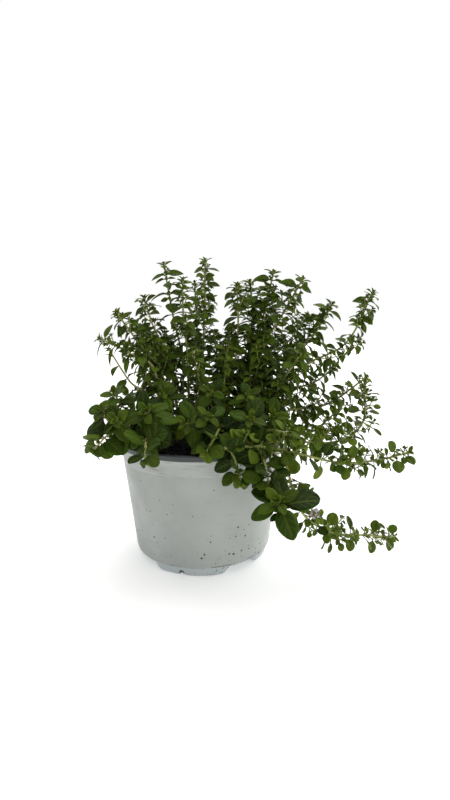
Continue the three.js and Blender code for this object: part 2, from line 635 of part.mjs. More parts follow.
const potMaterial = new THREE.MeshStandardMaterial({ color: 0xb4b9b5, roughness: 0.55, metalness: 0 });
const soilMaterial = new THREE.MeshStandardMaterial({ color: 0x1b1712, roughness: 0.95, metalness: 0 });
const LEAF_COLOURS = [0x3d5226, 0x475c2a, 0x36491f];

function place(body, owner) {
  const { min, max } = body.boundingBox();
  placed.push({ body, box: new THREE.Box3(vec(min), vec(max)), owner });
}

function meshOf(name, solid, material) {
  const mesh = new THREE.Mesh(geometryOf(solid), material);
  mesh.name = name;
  return mesh;
}

const thyme = new THREE.Group();
const pot = makePot();
const rows = [...STEMS, ...backStems()].map(settle);
const soil = makeSoil(rows.map((row) => row[2]));
place(pot, 'pot');
place(soil, 'soil');
thyme.add(meshOf('pot', pot, potMaterial));
thyme.add(meshOf('soil', soil, soilMaterial));
const plans = rows.map(planStem);
const flower = makeFlower(plans.find((plan) => plan.row[0] === FLOWER_STEM));
place(flower, FLOWER_STEM);
for (const plan of plans) {
  const name = plan.row[0];
  const color = LEAF_COLOURS[plan.index % LEAF_COLOURS.length];
  const material = new THREE.MeshStandardMaterial({ color, roughness: 0.7, metalness: 0 });
  const stem = growStem(plan);
  thyme.add(meshOf(`thyme_${name}`, name === FLOWER_STEM ? stem.add(flower) : stem, material));
}

export default thyme;
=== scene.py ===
"""Potted thyme: a 12 cm growing pot of moulded plastic, damp peat soil, and leafy thyme stems.

Lengths are in millimetres until a mesh is made, which turns them to metres. +Z is up, the origin
is the middle of the pot's underside, and -Y faces the viewer.
"""
import math

import bpy
import numpy as np
from mathutils import Matrix, Vector


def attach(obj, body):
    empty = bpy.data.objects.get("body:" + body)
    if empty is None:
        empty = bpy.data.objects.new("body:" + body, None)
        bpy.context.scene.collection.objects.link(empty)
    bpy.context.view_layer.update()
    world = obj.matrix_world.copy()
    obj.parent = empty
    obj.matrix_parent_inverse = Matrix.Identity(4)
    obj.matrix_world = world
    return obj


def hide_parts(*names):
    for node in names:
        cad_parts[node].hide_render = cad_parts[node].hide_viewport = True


MM = 0.001

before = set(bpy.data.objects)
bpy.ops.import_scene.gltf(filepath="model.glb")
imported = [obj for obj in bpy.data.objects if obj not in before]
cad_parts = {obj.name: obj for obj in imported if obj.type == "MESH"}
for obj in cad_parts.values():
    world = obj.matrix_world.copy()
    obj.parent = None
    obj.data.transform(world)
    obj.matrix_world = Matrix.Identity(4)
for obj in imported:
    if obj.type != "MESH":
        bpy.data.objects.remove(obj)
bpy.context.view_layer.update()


# ---- camera: held a little above the rim, about 30 cm in front of the pot ----

IMAGE_HEIGHT = 800
FOCAL_PIXELS = 450
SENSOR = 36
CAMERA_AT = (0.0, -321.7, 168.3)
CAMERA_YAW = 0.054
CAMERA_PITCH = 0.177
CAMERA_ROLL = -0.011


def make_camera():
    """The camera where the photograph was taken from, turned by its yaw, pitch and roll."""
    data = bpy.data.cameras.new("camera")
    data.sensor_width = SENSOR
    data.lens = SENSOR * FOCAL_PIXELS / IMAGE_HEIGHT
    data.clip_start = 0.01
    camera = bpy.data.objects.new("camera", data)
    forward = Vector((math.sin(CAMERA_YAW) * math.cos(CAMERA_PITCH),
                      math.cos(CAMERA_YAW) * math.cos(CAMERA_PITCH), -math.sin(CAMERA_PITCH)))
    level = Vector((math.cos(CAMERA_YAW), -math.sin(CAMERA_YAW), 0))
    upright = level.cross(forward)
    right = math.cos(CAMERA_ROLL) * level + math.sin(CAMERA_ROLL) * upright
    top = math.cos(CAMERA_ROLL) * upright - math.sin(CAMERA_ROLL) * level
    turn = Matrix((right, top, -forward)).transposed().to_4x4()
    camera.matrix_world = Matrix.Translation(Vector(CAMERA_AT) * MM) @ turn
    bpy.context.scene.collection.objects.link(camera)
    bpy.context.scene.camera = camera


# ---- the pot's and the soil's sizes ----

# How finely round things are drawn, and the radius that closes a shape at its middle.
ROUND = 192
MIDDLE = 0.01

# the pot's lip and wall
LIP_RADIUS = 60
LIP_ROUND = 0.6
LIP_UNDER_ROUND = 0.35
MOUTH_ROUND = 0.4
POT_HEIGHT = 87
LIP_HEIGHT = 4
WALL = 1.2
WALL_TOP_RADIUS = 58
WALL_FOOT_RADIUS = 49.7
STEP_BELOW_TOP = 14.5
STEP_DEPTH = 0.4
# its floor and its foot ring, which is lifted in the notches, the first at an angle in degrees
FOOT_HEIGHT = 7
FOOT_ROUND = 1.6
FLOOR_UNDER = 5.5
FLOOR_TOP = 7.5
FOOT_RADIUS = 46.8
FOOT_WIDTH = 11
NOTCH_COUNT = 4
NOTCH_SPAN = 26
NOTCH_EDGE = 5
NOTCH_TOP = 6.2
FIRST_NOTCH_AT = -57.5
PAD_RADIUS = 12
PAD_ROUND = 1
DRAIN_RADIUS = 4
DRAIN_AT_RADIUS = 39
DRAIN_SIDES = 24
# the soil: the mean height of its top, the height where its side bends, the waves on its top, and
# its clearance from the pot
SOIL_TOP = 82.5
SOIL_BEND = 45
SOIL_LUMP = 0.8
SOIL_GRAIN = 0.35
GAP = 0.35
SOIL_RINGS = 60
SOIL_ROUND = 150
CRUMBS = 900
CRUMB_SIDES = 6
CRUMB_LEAST = 0.45
CRUMB_SPREAD = 1.3
# A crumb's rings from below: how high each is and how wide, beside the crumb's size.
CRUMB_LAYERS = [(-0.8, 0.55), (-0.1, 1.0), (0.6, 0.7)]
# the depth of the hole that a stem stands in, and the room under the stem
HOLE_DEPTH = 10
FOOT_SPACE = 1.0
# the height of the ledge between the wall and the foot
LEDGE = 7.8
# where soil has splashed most thickly, right of the front and just above the foot
SPLASH_AT = (14, -48.3, 12)
# the chip in the foot's edge: its angle and half its span in degrees, its height, and its middle
CHIP_ANGLE = 251.25
CHIP_SPAN = 2.6
CHIP_HEIGHT = 1.8
CHIP_AT = (-15.3, -45.1, 2.6)


# ---- the stems' sizes ----

# the height from which the stems' lines are drawn, and how finely
COLLAR = 85.5
CURVE_STEPS = 80
SHOOT_STEPS = 10
# the least distance between two stems' lines, and the steps by which a stem is bent for it
STEM_SPACE = 2.8
NUDGE = 1.5
NUDGES = 16
# a stem's width at its foot and at its tip, and half the height of the place where a pair grows
STEM_THICK = 1.7
STEM_THIN = 1.1
NODE_HALF = 0.55

# Each row is a leafy stem: its name, its habit, its root on the soil, the points that it passes
# with its tip last, the length of its leaves, their width as a share of that length, the distance
# between leaf pairs, and the share of the stem that is bare.
STEMS = [
    # the left half of the bush
    ("tall_left", "bush", (-14, 8), [(-13, 8, 138), (-19, 6, 173), (-24, 5, 207)],
     12, 0.56, 7.5, 0.44),
    ("tall_left_low", "bush", (-9, -5), [(-9, -4, 143), (-11, -5, 170), (-11, -5, 196)],
     11, 0.56, 7, 0.44),
    ("tallest", "bush", (-1, 14), [(2, 14, 140), (4, 16, 177), (5, 16, 211)],
     10.5, 0.56, 6.5, 0.42),
    ("tallest_mate", "bush", (-6, 24), [(-2, 24, 132), (-2, 26, 165), (-3, 28, 196)],
     10, 0.56, 6.5, 0.44),
    ("left_mid", "bush", (-21, 3), [(-21, 1, 137), (-32, 0, 163), (-38, 0, 184)],
     12, 0.56, 6.5, 0.42),
    ("left_high", "bush", (-27, -6), [(-27, -6, 133), (-43, -8, 155), (-56, -10, 174)],
     12, 0.56, 6, 0.42),
    ("left_arm", "bush", (-30, -14), [(-31, -14, 134), (-48, -16, 147), (-66, -18, 157)],
     13, 0.56, 6, 0.25),
    ("left_thread", "bush", (-40, -6), [(-37, -10, 116), (-48, -14, 127), (-61, -16, 150)],
     11, 0.56, 14, 0.3),
    ("left_wood", "bush", (-34, 3), [(-24, -2, 113), (-33, -6, 123), (-42, -10, 132)],
     10, 0.56, 11, 0.45),
    ("left_back", "bush", (-24, 18), [(-25, 24, 129), (-38, 30, 152), (-52, 34, 167)],
     10.5, 0.56, 6.5, 0.42),
    # broad low leaves at the left front
    ("left_low_a", "broad", (-45, -20), [(-53, -30, 96), (-59, -38, 105), (-61, -48, 116)],
     11, 0.78, 5, 0.35),
    ("left_low_b", "broad", (-38, -20), [(-42, -26, 103), (-52, -30, 114), (-55, -37, 124)],
     11, 0.74, 5, 0.35),
    ("left_low_c", "broad", (-42, -28), [(-48, -38, 97), (-57, -46, 99), (-66, -52, 91)],
     15, 0.8, 5, 0.25),
    ("left_low_d", "broad", (-36, -35), [(-42, -41, 99), (-48, -49, 106), (-51, -58, 110)],
     13, 0.78, 5, 0.25),
    ("left_low_e", "broad", (-29, -42), [(-31, -48, 97), (-33, -60, 99), (-33, -71, 89)],
     14, 0.8, 5.5, 0.25),
    ("left_rosette", "rosette", (-28, -32), [(-31, -42, 101), (-32, -50, 109), (-33, -60, 115)],
     17, 0.64, 5, 0.2),
    ("left_bright", "broad", (-20, -22), [(-19, -28, 108), (-22, -32, 117), (-24, -40, 123)],
     11.5, 0.64, 5, 0.2),
    # the middle of the front
    ("front_a", "broad", (2, -20), [(7, -25, 109), (7, -30, 118), (6, -38, 124)],
     12, 0.62, 5, 0.2),
    ("front_b", "broad", (20, -19), [(29, -27, 106), (30, -33, 115), (30, -41, 122)],
     12, 0.62, 5, 0.2),
    ("front_c", "broad", (32, -20), [(45, -28, 99), (45, -36, 103), (45, -46, 108)],
     14, 0.64, 6, 0.2),
    ("front_leaf", "broad", (9, -35), [(11, -46, 100), (8, -56, 98), (2.5, -64, 91)],
     15, 0.84, 9, 0.4),
    ("front_d", "broad", (-5, -30), [(0, -37, 97), (2, -43, 104), (5, -53, 111)],
     13, 0.64, 5.5, 0.2),
    ("front_e", "broad", (17, -30), [(26, -42, 97), (29, -50, 104), (29, -60, 110)],
     14, 0.62, 5.5, 0.2),
    ("front_left", "broad", (8, -30), [(2, -36, 100), (-3, -43, 104), (-10, -51, 105)],
     18, 0.62, 8, 0.35),
    # low on the right, over the rim
    ("right_dark", "broad", (25, -42), [(30, -58, 93), (35, -70, 90), (38, -78, 74)],
     13, 0.78, 4.5, 0.2),
    ("right_dark_side", "broad", (14, -46), [(16, -59, 91), (19, -70, 88), (22, -77, 76)],
     12.5, 0.78, 4.5, 0.25),
    ("hanging", "rosette", (33, -36), [(36, -57, 92), (41, -71, 86), (45, -80, 74), (44, -86, 65),
     (40, -94, 71)], 19, 0.58, 3.8, 0.79),
    ("trail_long", "trail", (3, -43), [(10, -60, 92), (40, -67, 94), (82, -58, 81),
     (108, -54, 80), (131, -52, 84)], 12, 0.7, 9, 0.22),
    ("trail_up", "trail", (28, -28), [(44, -46, 99), (66, -52, 92), (90, -48, 92),
     (104, -44, 103), (106, -38, 127)], 11, 0.52, 7, 0.25),
    ("trail_low", "trail", (37, -30), [(48, -53, 92), (51, -67, 78), (60, -67, 52),
     (80, -62, 36), (104, -56, 30), (125, -52, 26)], 11, 0.64, 9, 0.35),
    ("right_arch", "bush", (47, -8), [(58, -20, 105), (86, -22, 110), (113, -24, 129)],
     11, 0.6, 6.5, 0.3),
    ("right_broad", "trail", (45, -17), [(58, -32, 93), (72, -36, 94), (89, -38, 109)],
     13.5, 0.52, 9, 0.3),
    ("right_low", "trail", (39, -24), [(54, -38, 97), (70, -46, 94), (87, -50, 101)],
     12, 0.54, 9, 0.3),
    # the right half of the bush
    ("right_first", "bush", (14, 0), [(25, -2, 141), (27, -4, 168), (26, -5, 192)],
     11.5, 0.6, 6, 0.18),
    ("right_second", "bush", (22, 12), [(35, 12, 140), (39, 12, 168), (37, 12, 195)],
     12, 0.6, 6, 0.18),
    ("right_third", "bush", (26, 3), [(39, 3, 141), (46, 3, 172), (53, 4, 201)],
     12, 0.6, 5.5, 0.18),
    ("right_fourth", "bush", (30, -5), [(43, -7, 145), (56, -8, 169), (71, -9, 195)],
     12.5, 0.6, 5.5, 0.16),
    ("right_fifth", "bush", (37, 8), [(62, 9, 134), (82, 10, 153), (98, 12, 179)],
     12, 0.6, 5.2, 0.18),
    ("right_sixth", "bush", (29, 20), [(57, 20, 139), (71, 22, 155), (83, 24, 171)],
     11.5, 0.6, 5.2, 0.18),
    ("right_far", "bush", (38, -6), [(66, -10, 131), (101, -12, 151), (119, -12, 186)],
     10.5, 0.6, 7, 0.22),
    ("right_out", "bush", (47, 2), [(67, 2, 115), (84, 0, 123), (99, 0, 135)],
     10.5, 0.6, 6, 0.22),
    ("right_fill", "bush", (36, -14), [(52, -18, 119), (60, -20, 133), (69, -22, 147)],
     12.5, 0.6, 5.5, 0.2),
    # shorter stems between the two halves
    ("mid_a", "bush", (6, 8), [(12, 8, 130), (12, 10, 146), (10, 10, 160)], 11.5, 0.6, 6, 0.12),
    ("mid_b", "bush", (10, -10), [(16, -14, 124), (17, -16, 140), (19, -18, 152)],
     11.5, 0.6, 6, 0.12),
    ("mid_c", "bush", (-8, -14), [(-1, -18, 123), (-3, -20, 138), (-5, -22, 149)],
     11.5, 0.6, 6, 0.12),
]
BACK_STEMS = 13
BACK_FROM = 8
BACK_TO = 172
# The three kinds of back stem, from the middle out: how far from the pot's middle the root and the
# tip stand, the tip's height, and the share of it that the stem has risen at 15% and at half way.
BACK_KINDS = [(30, 42, 160, 0.42, 0.75), (42, 66, 143, 0.5, 0.85), (47, 72, 108, 0.75, 1.15)]
# how far these vary from stem to stem, and the leaves, as in the rows above
BACK_ROOT_SPREAD = 3
BACK_REACH_SPREAD = 6
BACK_HEIGHT_SPREAD = 10
BACK_LEAF = 9.5
BACK_LEAF_SPREAD = 2
BACK_LEAVES = (0.56, 6.5, 0.2)
# how leaf pairs are spread along a stem: the first one's distance from the tip, and the gap there
# as a share of the full gap, which it reaches by steps
FIRST_PAIR = 0.9
TIP_GAP = 0.32
GAP_GROWTH = 0.2

# a leaf's thickness, half the width of its tip and of its short stalk, on a leaf of a usual length
LEAF_THICK = 0.34
TIP_HALF = 0.02
STALK_HALF = 0.3
STALK_OF = 9
# the least length of a leaf, and the length above which it is made of more faces
LEAST_LEAF = 2.4
FULL_LEAF_ABOVE = 5
# how far the blade is folded along its midrib and how that eases towards its margin, how far it is
# arched from base to tip, how deep its midrib is sunk, how far it is twisted, and its side veins
FOLD_LEAST = 0.1
FOLD_SPREAD = 0.3
FOLD_EASE = 0.55
ARCH = 0.16
RIB_DEPTH = 0.12
TWIST_SPREAD = 0.5
VEINS = 5.0

# how far a leaf leans off its stem in degrees, and how small it is, from the tip back
OPEN_AT_TIP = 56
OPEN_STEP = 13
OPEN_MOST = 92
OPEN_SPREAD = 16
TIP_LEAF = 0.5
LEAF_GROWTH = 0.26
SIZE_LEAST = 0.85
SIZE_SPREAD = 0.3
YOUTH_AT_TIP = 0.55
YOUTH_STEP = 0.16
# Leaves turn their faces up and away from the pot, the more so the less upright their stem is.
LIGHT_OUTWARD = 0.6
TURN_TO_LIGHT = 0.6
TURN_MOST = 0.85

# The youngest pairs of leaves, from the outside in: how far they lean off the stem in degrees,
# and their size beside the stem's full leaves.
BUD_PAIRS = [(34, 0.3), (15, 0.22)]
BUD_LEAST = 1.6
BUD_FOLD = 0.5

# the shoots in the leaves' axils: they grow longer over so many leaf pairs from the tip
AXIL_PAIRS = 8
AXIL_LEAN = 34
AXIL_LEAN_SPREAD = 14
AXIL_BEND = 0.4
AXIL_GAP = 3.8
AXIL_BARE = 0.15
AXIL_HALVES = (0.42, 0.3)

# how near a leaf comes to the pot, the soil, the table and other leaves
POT_SPACE = 0.8
SOIL_SPACE = 1.5
TABLE_SPACE = 1
CROWD_CELL = 3
CROWD_NEAR = 1.25
# A leaf without room is swung by so many degrees and made so much smaller, in this order.
SWINGS = [(0, 1), (-12, 1), (12, 1), (-24, 0.95), (24, 0.9), (-36, 0.85), (0, 0.7)]

# the stems' skin
STEM_SIDES = 8
STEM_SQUARE = 0.06
STEM_KNOT = 0.14
RING_STEP = 2.6
HAIR_STEP = 0.32
HAIR_LONG = 1.1
HAIR_HALF = 0.07
HAIR_ROOT = 0.15
HAIR_LEAN = 0.3
HAIRY_ABOVE = 0.35
# how green a side shoot's skin is at its foot and at its tip
GREEN_SHOOT = (0.8, 1.0)

# How each habit of stem grows: the stalk's share of a leaf, how round its blade's ends are (0.5 is
# an ellipse), what its widest place leans to (less than 1 is nearer the stalk), how far its
# leaves hang, how far they roll either way in degrees, how far their tips droop, the share of its
# axils with a shoot, the reach of those shoots near the tip and near the foot, how far they turn
# up, the size of their leaves beside the stem's own, how green the stem is at its foot, the usual
# distance between its leaf pairs, above which it has fewer shoots, its twist in radians a
# millimetre, and how much yellower and brighter its leaves are than the plainest green.
HABITS = {
    "bush": {"stalk": 0.14, "round": 0.8, "widest": 0.76, "hang": 0.0, "roll": 45, "droop": 0.32,
             "axils": 0.92, "reach": (3, 16), "rise": 0.25, "small": 0.72, "green": 0.12,
             "usual": 6, "twist": 0.0, "yellow": 0.22, "tone": 0.12},
    "trail": {"stalk": 0.28, "round": 0.52, "widest": 0.95, "hang": 0.5, "roll": 70,
              "droop": 0.08, "axils": 0.8, "reach": (5, 14), "rise": 0.9, "small": 0.74,
              "green": 0.7, "usual": 9, "twist": 0.0, "yellow": 0.4, "tone": 0.2},
    "broad": {"stalk": 0.15, "round": 0.56, "widest": 0.9, "hang": 0.15, "roll": 22,
              "droop": 0.1, "axils": 0.65, "reach": (2, 5), "rise": 0.3, "small": 0.38,
              "green": 0.8, "usual": 6, "twist": 0.06, "yellow": 0.0, "tone": -0.1},
}
# The two large rosettes are broad-leaved stems whose side shoots crowd around the tip.
HABITS["rosette"] = {**HABITS["broad"], "axils": 1.0, "reach": (4, 8), "small": 0.66}


# ---- colours, as they look in soft daylight ----

POT_CLEAN = "#adb1ad"
POT_DULL = "#9da19d"
POT_FOOT = "#b0b8ba"
POT_SMEAR = "#8a8c86"
POT_SCUFF = "#74756c"
# the lip's dark grey: painted shade under the foliage, with wet soil stain
LIP_SHADE_AND_STAIN = "#34393a"
SPECK = "#2e2a25"
# the fine specks' colour, also used for the painted shade lines at the ledge and the bottom edge
FINE_SPECK_AND_CREASE_SHADE = "#5a564f"
PEAT_DARK = "#090706"
PEAT_BROWN = "#17110c"
PEAT_DRY = "#4a3a28"
LEAF_DARK = "#1b2a08"
LEAF_BRIGHT = "#3b520c"
LEAF_YOUNG = "#66781c"
LEAF_UNDER = "#5f6e2c"
LEAF_VEIN = "#5c7028"
DOWN = "#a2b985"
BARK_DARK = "#5a4834"
BARK_PALE = "#8d7a58"
STEM_GREEN = "#84913f"
STEM_PALE = "#b0b06c"
PETAL_PALE = "#d8ccd9"
PETAL_THROAT = "#8a678f"
PAPER = "#f6f6f4"
WHITE = "#ffffff"
ROOM_DARK = "#4e5255"


# ---- materials ----

def linear(code):
    """The linear RGBA of an sRGB hex colour."""
    parts = [int(code[i:i + 2], 16) / 255 for i in (1, 3, 5)]
    return [p / 12.92 if p <= 0.04045 else ((p + 0.055) / 1.055) ** 2.4 for p in parts] + [1]


def per_mm(size):
    """The texture scale that repeats a pattern every size millimetres, in object coordinates."""
    return 1 / (size * MM)


def new_material(name):
    """A material and its shader node."""
    material = bpy.data.materials.new(name)
    material.use_nodes = True
    return material, material.node_tree.nodes["Principled BSDF"]


def fill(material, node, inputs):
    """Sets or links a node's inputs, by name or place. A node given for one is linked by the first
    of its outputs that is in use."""
    for name, value in inputs.items():
        if isinstance(value, bpy.types.Node):
            value = next(output for output in value.outputs if output.enabled)
        if isinstance(value, bpy.types.NodeSocket):
            material.node_tree.links.new(value, node.inputs[name])
        else:
            node.inputs[name].default_value = value


def add(material, kind, inputs, **settings):
    """Adds a shader node of a kind, with its settings and its inputs."""
    made = material.node_tree.nodes.new("ShaderNode" + kind)
    for name, value in settings.items():
        setattr(made, name, value)
    fill(material, made, inputs)
    return made


# A Map Range node with this setting eases in and out of its range.
SMOOTH = {"interpolation_type": "SMOOTHSTEP"}


def painted(material, base, layers):
    """The colour of a surface with layers laid over its base colour. A layer is the share of the
    surface that it covers and its colour. A colour is a hex value or a node."""
    colour = linear(base) if isinstance(base, str) else base
    for share, over in layers:
        over = linear(over) if isinstance(over, str) else over
        # a colour mix takes its share at place 0 and its two colours at places 6 and 7
        colour = add(material, "Mix", {0: share, 6: colour, 7: over}, data_type="RGBA")
    return colour


def specks(material, place, size, share, spread):
    """How much of a speck covers a place: one ragged dot in each cell of so many millimetres,
    kept in a share of the cells, and as wide as spread of the cell at most."""
    # noise pulls each place aside by a fraction of a millimetre, which makes the edges ragged
    ragged = add(material, "TexNoise", {"Vector": place, "Scale": per_mm(1.0)})
    pull = [1.3 * MM] * 3
    pulled = add(material, "VectorMath", {0: ragged.outputs["Color"], 1: pull, 2: place},
                 operation="MULTIPLY_ADD")
    cells = add(material, "TexVoronoi", {"Vector": pulled, "Scale": per_mm(size)})
    chance = add(material, "SeparateColor", {"Color": cells.outputs["Color"]})
    wide = add(material, "MapRange", {"Value": chance.outputs["Green"], "To Min": spread * 0.4,
                                      "To Max": spread}, **SMOOTH)
    dot = add(material, "Math", {0: cells, 1: wide}, operation="LESS_THAN")
    kept = add(material, "Math", {0: chance.outputs["Red"], 1: share}, operation="LESS_THAN")
    return add(material, "Math", {0: dot, 1: kept}, operation="MULTIPLY")


def moulded_polypropylene():
    """Thin grey-white polypropylene, injection moulded: a soft even gloss with a faint grain, dull
    where water has dried, spotted with soil, and dark grey along the lip, with painted shade under
    the foliage and soil stain."""
    material, shader = new_material("moulded_polypropylene")
    place = add(material, "TexCoord", {}).outputs["Object"]
    height = add(material, "SeparateXYZ", {"Vector": place}).outputs["Z"]

    # dried water: broad pale and dark patches a few centimetres wide
    patches = add(material, "TexNoise",
                  {"Vector": place, "Scale": per_mm(45), "Detail": 5.0, "Roughness": 0.6})
    clean = add(material, "MapRange", {"Value": patches, "From Min": 0.3, "From Max": 0.7},
                **SMOOTH)
    gloss = add(material, "MapRange", {"Value": patches, "From Min": 0.35, "From Max": 0.7,
                                       "To Min": 0.5, "To Max": 0.34}, **SMOOTH)

    # the foot below its ledge is painted a lighter, cooler white
    foot = add(material, "MapRange", {"Value": height, "From Min": 6 * MM, "From Max": 8.5 * MM,
                                      "To Min": 1.0, "To Max": 0.0}, **SMOOTH)

    # handling marks: short level smears and scratches about 2 mm high
    level = add(material, "Mapping", {"Vector": place, "Scale": (0.16, 0.16, 1.0)})
    smears = add(material, "TexNoise", {"Vector": level, "Scale": per_mm(1.8), "Detail": 4.0})
    smeared = add(material, "MapRange", {"Value": smears, "From Min": 0.6, "From Max": 0.78,
                                         "To Max": 0.5}, **SMOOTH)

    # the band above the step is the part that is held and stacked, so it is scuffed the most
    step = POT_HEIGHT - STEP_BELOW_TOP
    band = add(material, "MapRange", {"Value": height, "From Min": (step - 0.5) * MM,
                                      "From Max": (step + 1) * MM}, **SMOOTH)
    scuffs = add(material, "MapRange", {"Value": smears, "From Min": 0.5, "From Max": 0.68,
                                        "To Max": 0.4}, **SMOOTH)
    scuffed = add(material, "Math", {0: scuffs, 1: band}, operation="MULTIPLY")

    # soil splashed on: specks in drifts, most of them low down, with one thick splash by a notch
    drifts = add(material, "TexNoise", {"Vector": place, "Scale": per_mm(26), "Detail": 2.0})
    low_down = add(material, "MapRange", {"Value": height, "From Max": 50 * MM, "To Min": 0.22,
                                          "To Max": 0.0}, **SMOOTH)
    from_splash = add(material, "VectorMath", {0: place, 1: [c * MM for c in SPLASH_AT]},
                      operation="DISTANCE")
    near = add(material, "MapRange", {"Value": from_splash, "From Min": 4 * MM,
                                      "From Max": 34 * MM, "To Min": 0.5, "To Max": 0.0}, **SMOOTH)
    amount = add(material, "Math", {0: drifts, 1: 0.85, 2: low_down}, operation="MULTIPLY_ADD")
    amount = add(material, "Math", {0: amount, 1: near}, operation="ADD")
    few = add(material, "MapRange", {"Value": amount, "From Min": 0.4, "From Max": 0.9,
                                     "To Min": 0.03, "To Max": 0.8}, **SMOOTH)
    many = add(material, "MapRange", {"Value": amount, "From Min": 0.4, "To Min": 0.08,
                                      "To Max": 0.85}, **SMOOTH)
    coarse = specks(material, place, 3.8, few, 0.22)
    fine = specks(material, place, 2.1, many, 0.19)

    # painted shade with some soil: dark broken lines in the crease under the ledge above the foot
    # and along the bottom edge
    broken = add(material, "MapRange", {"Value": smears, "From Min": 0.44, "From Max": 0.6,
                                        "To Max": 0.75}, **SMOOTH)
    ledge = add(material, "Math", {0: height, 1: LEDGE * MM, 2: 0.35 * MM}, operation="COMPARE")
    edge = add(material, "MapRange", {"Value": height, "From Min": 0.2 * MM, "From Max": 0.9 * MM,
                                      "To Min": 1.0, "To Max": 0.0}, **SMOOTH)
    lines = add(material, "Math", {0: ledge, 1: edge}, operation="MAXIMUM")
    crease_shade_and_soil = add(material, "Math", {0: lines, 1: broken}, operation="MULTIPLY")

    # the chip in the foot's edge is painted dark
    from_chip = add(material, "VectorMath", {0: place, 1: [c * MM for c in CHIP_AT]},
                    operation="DISTANCE")
    chipped = add(material, "MapRange", {"Value": from_chip, "From Min": 1.2 * MM,
                                         "From Max": 2.6 * MM, "To Min": 0.95, "To Max": 0.0},
                  **SMOOTH)

    # the lip's face is painted dark grey, less so at its lower edge: painted shade under the
    # foliage, with some wet soil stain
    under_lip = POT_HEIGHT - LIP_HEIGHT
    lip_shade_and_stain = add(material, "MapRange", {"Value": height, "From Min": under_lip * MM,
                                         "From Max": (under_lip + 0.7) * MM}, **SMOOTH)

    colour = painted(material, POT_DULL, [
        (clean, POT_CLEAN), (foot, POT_FOOT), (smeared, POT_SMEAR), (scuffed, POT_SCUFF),
        (fine, FINE_SPECK_AND_CREASE_SHADE), (coarse, SPECK), (crease_shade_and_soil, FINE_SPECK_AND_CREASE_SHADE), (chipped, SPECK),
        (lip_shade_and_stain, LIP_SHADE_AND_STAIN)])
    # mould grain is about 0.1 mm, drawn at 0.5 mm so that it shows
    grain = add(material, "TexNoise", {"Vector": place, "Scale": per_mm(0.5), "Detail": 2.0})
    bump = add(material, "Bump", {"Height": grain, "Strength": 0.12, "Distance": 0.05 * MM})
    fill(material, shader, {"Base Color": colour, "Roughness": gloss, "IOR": 1.49,
                            "Normal": bump})
    return material


def damp_peat():
    """Damp peat compost: almost black, matte, with brown fibres and a few dry crumbs."""
    material, shader = new_material("damp_peat")
    place = add(material, "TexCoord", {}).outputs["Object"]
    crumbs = add(material, "TexVoronoi", {"Vector": place, "Scale": per_mm(1.6)})
    lumps = add(material, "TexNoise",
                {"Vector": place, "Scale": per_mm(6), "Detail": 6.0, "Roughness": 0.65})
    brown = add(material, "MapRange", {"Value": lumps, "From Min": 0.35, "From Max": 0.7},
                **SMOOTH)
    chance = add(material, "SeparateColor", {"Color": crumbs.outputs["Color"]})
    dry = add(material, "MapRange", {"Value": chance, "From Min": 0.86, "From Max": 0.97},
              **SMOOTH)
    rough = add(material, "Math", {0: crumbs, 1: lumps}, operation="ADD")
    bump = add(material, "Bump", {"Height": rough, "Strength": 0.8, "Distance": 0.6 * MM})
    colour = painted(material, PEAT_DARK, [(brown, PEAT_BROWN), (dry, PEAT_DRY)])
    fill(material, shader, {"Base Color": colour, "Roughness": 0.92, "Normal": bump})
    return material


def plant_traits(material):
    """What the mesh says of a place on the plant: how yellow it is, or on a stem how green, its
    tone, and whether it is an underside."""
    grown = add(material, "Attribute", {}, attribute_name="growth")
    return add(material, "SeparateColor", {"Color": grown}).outputs


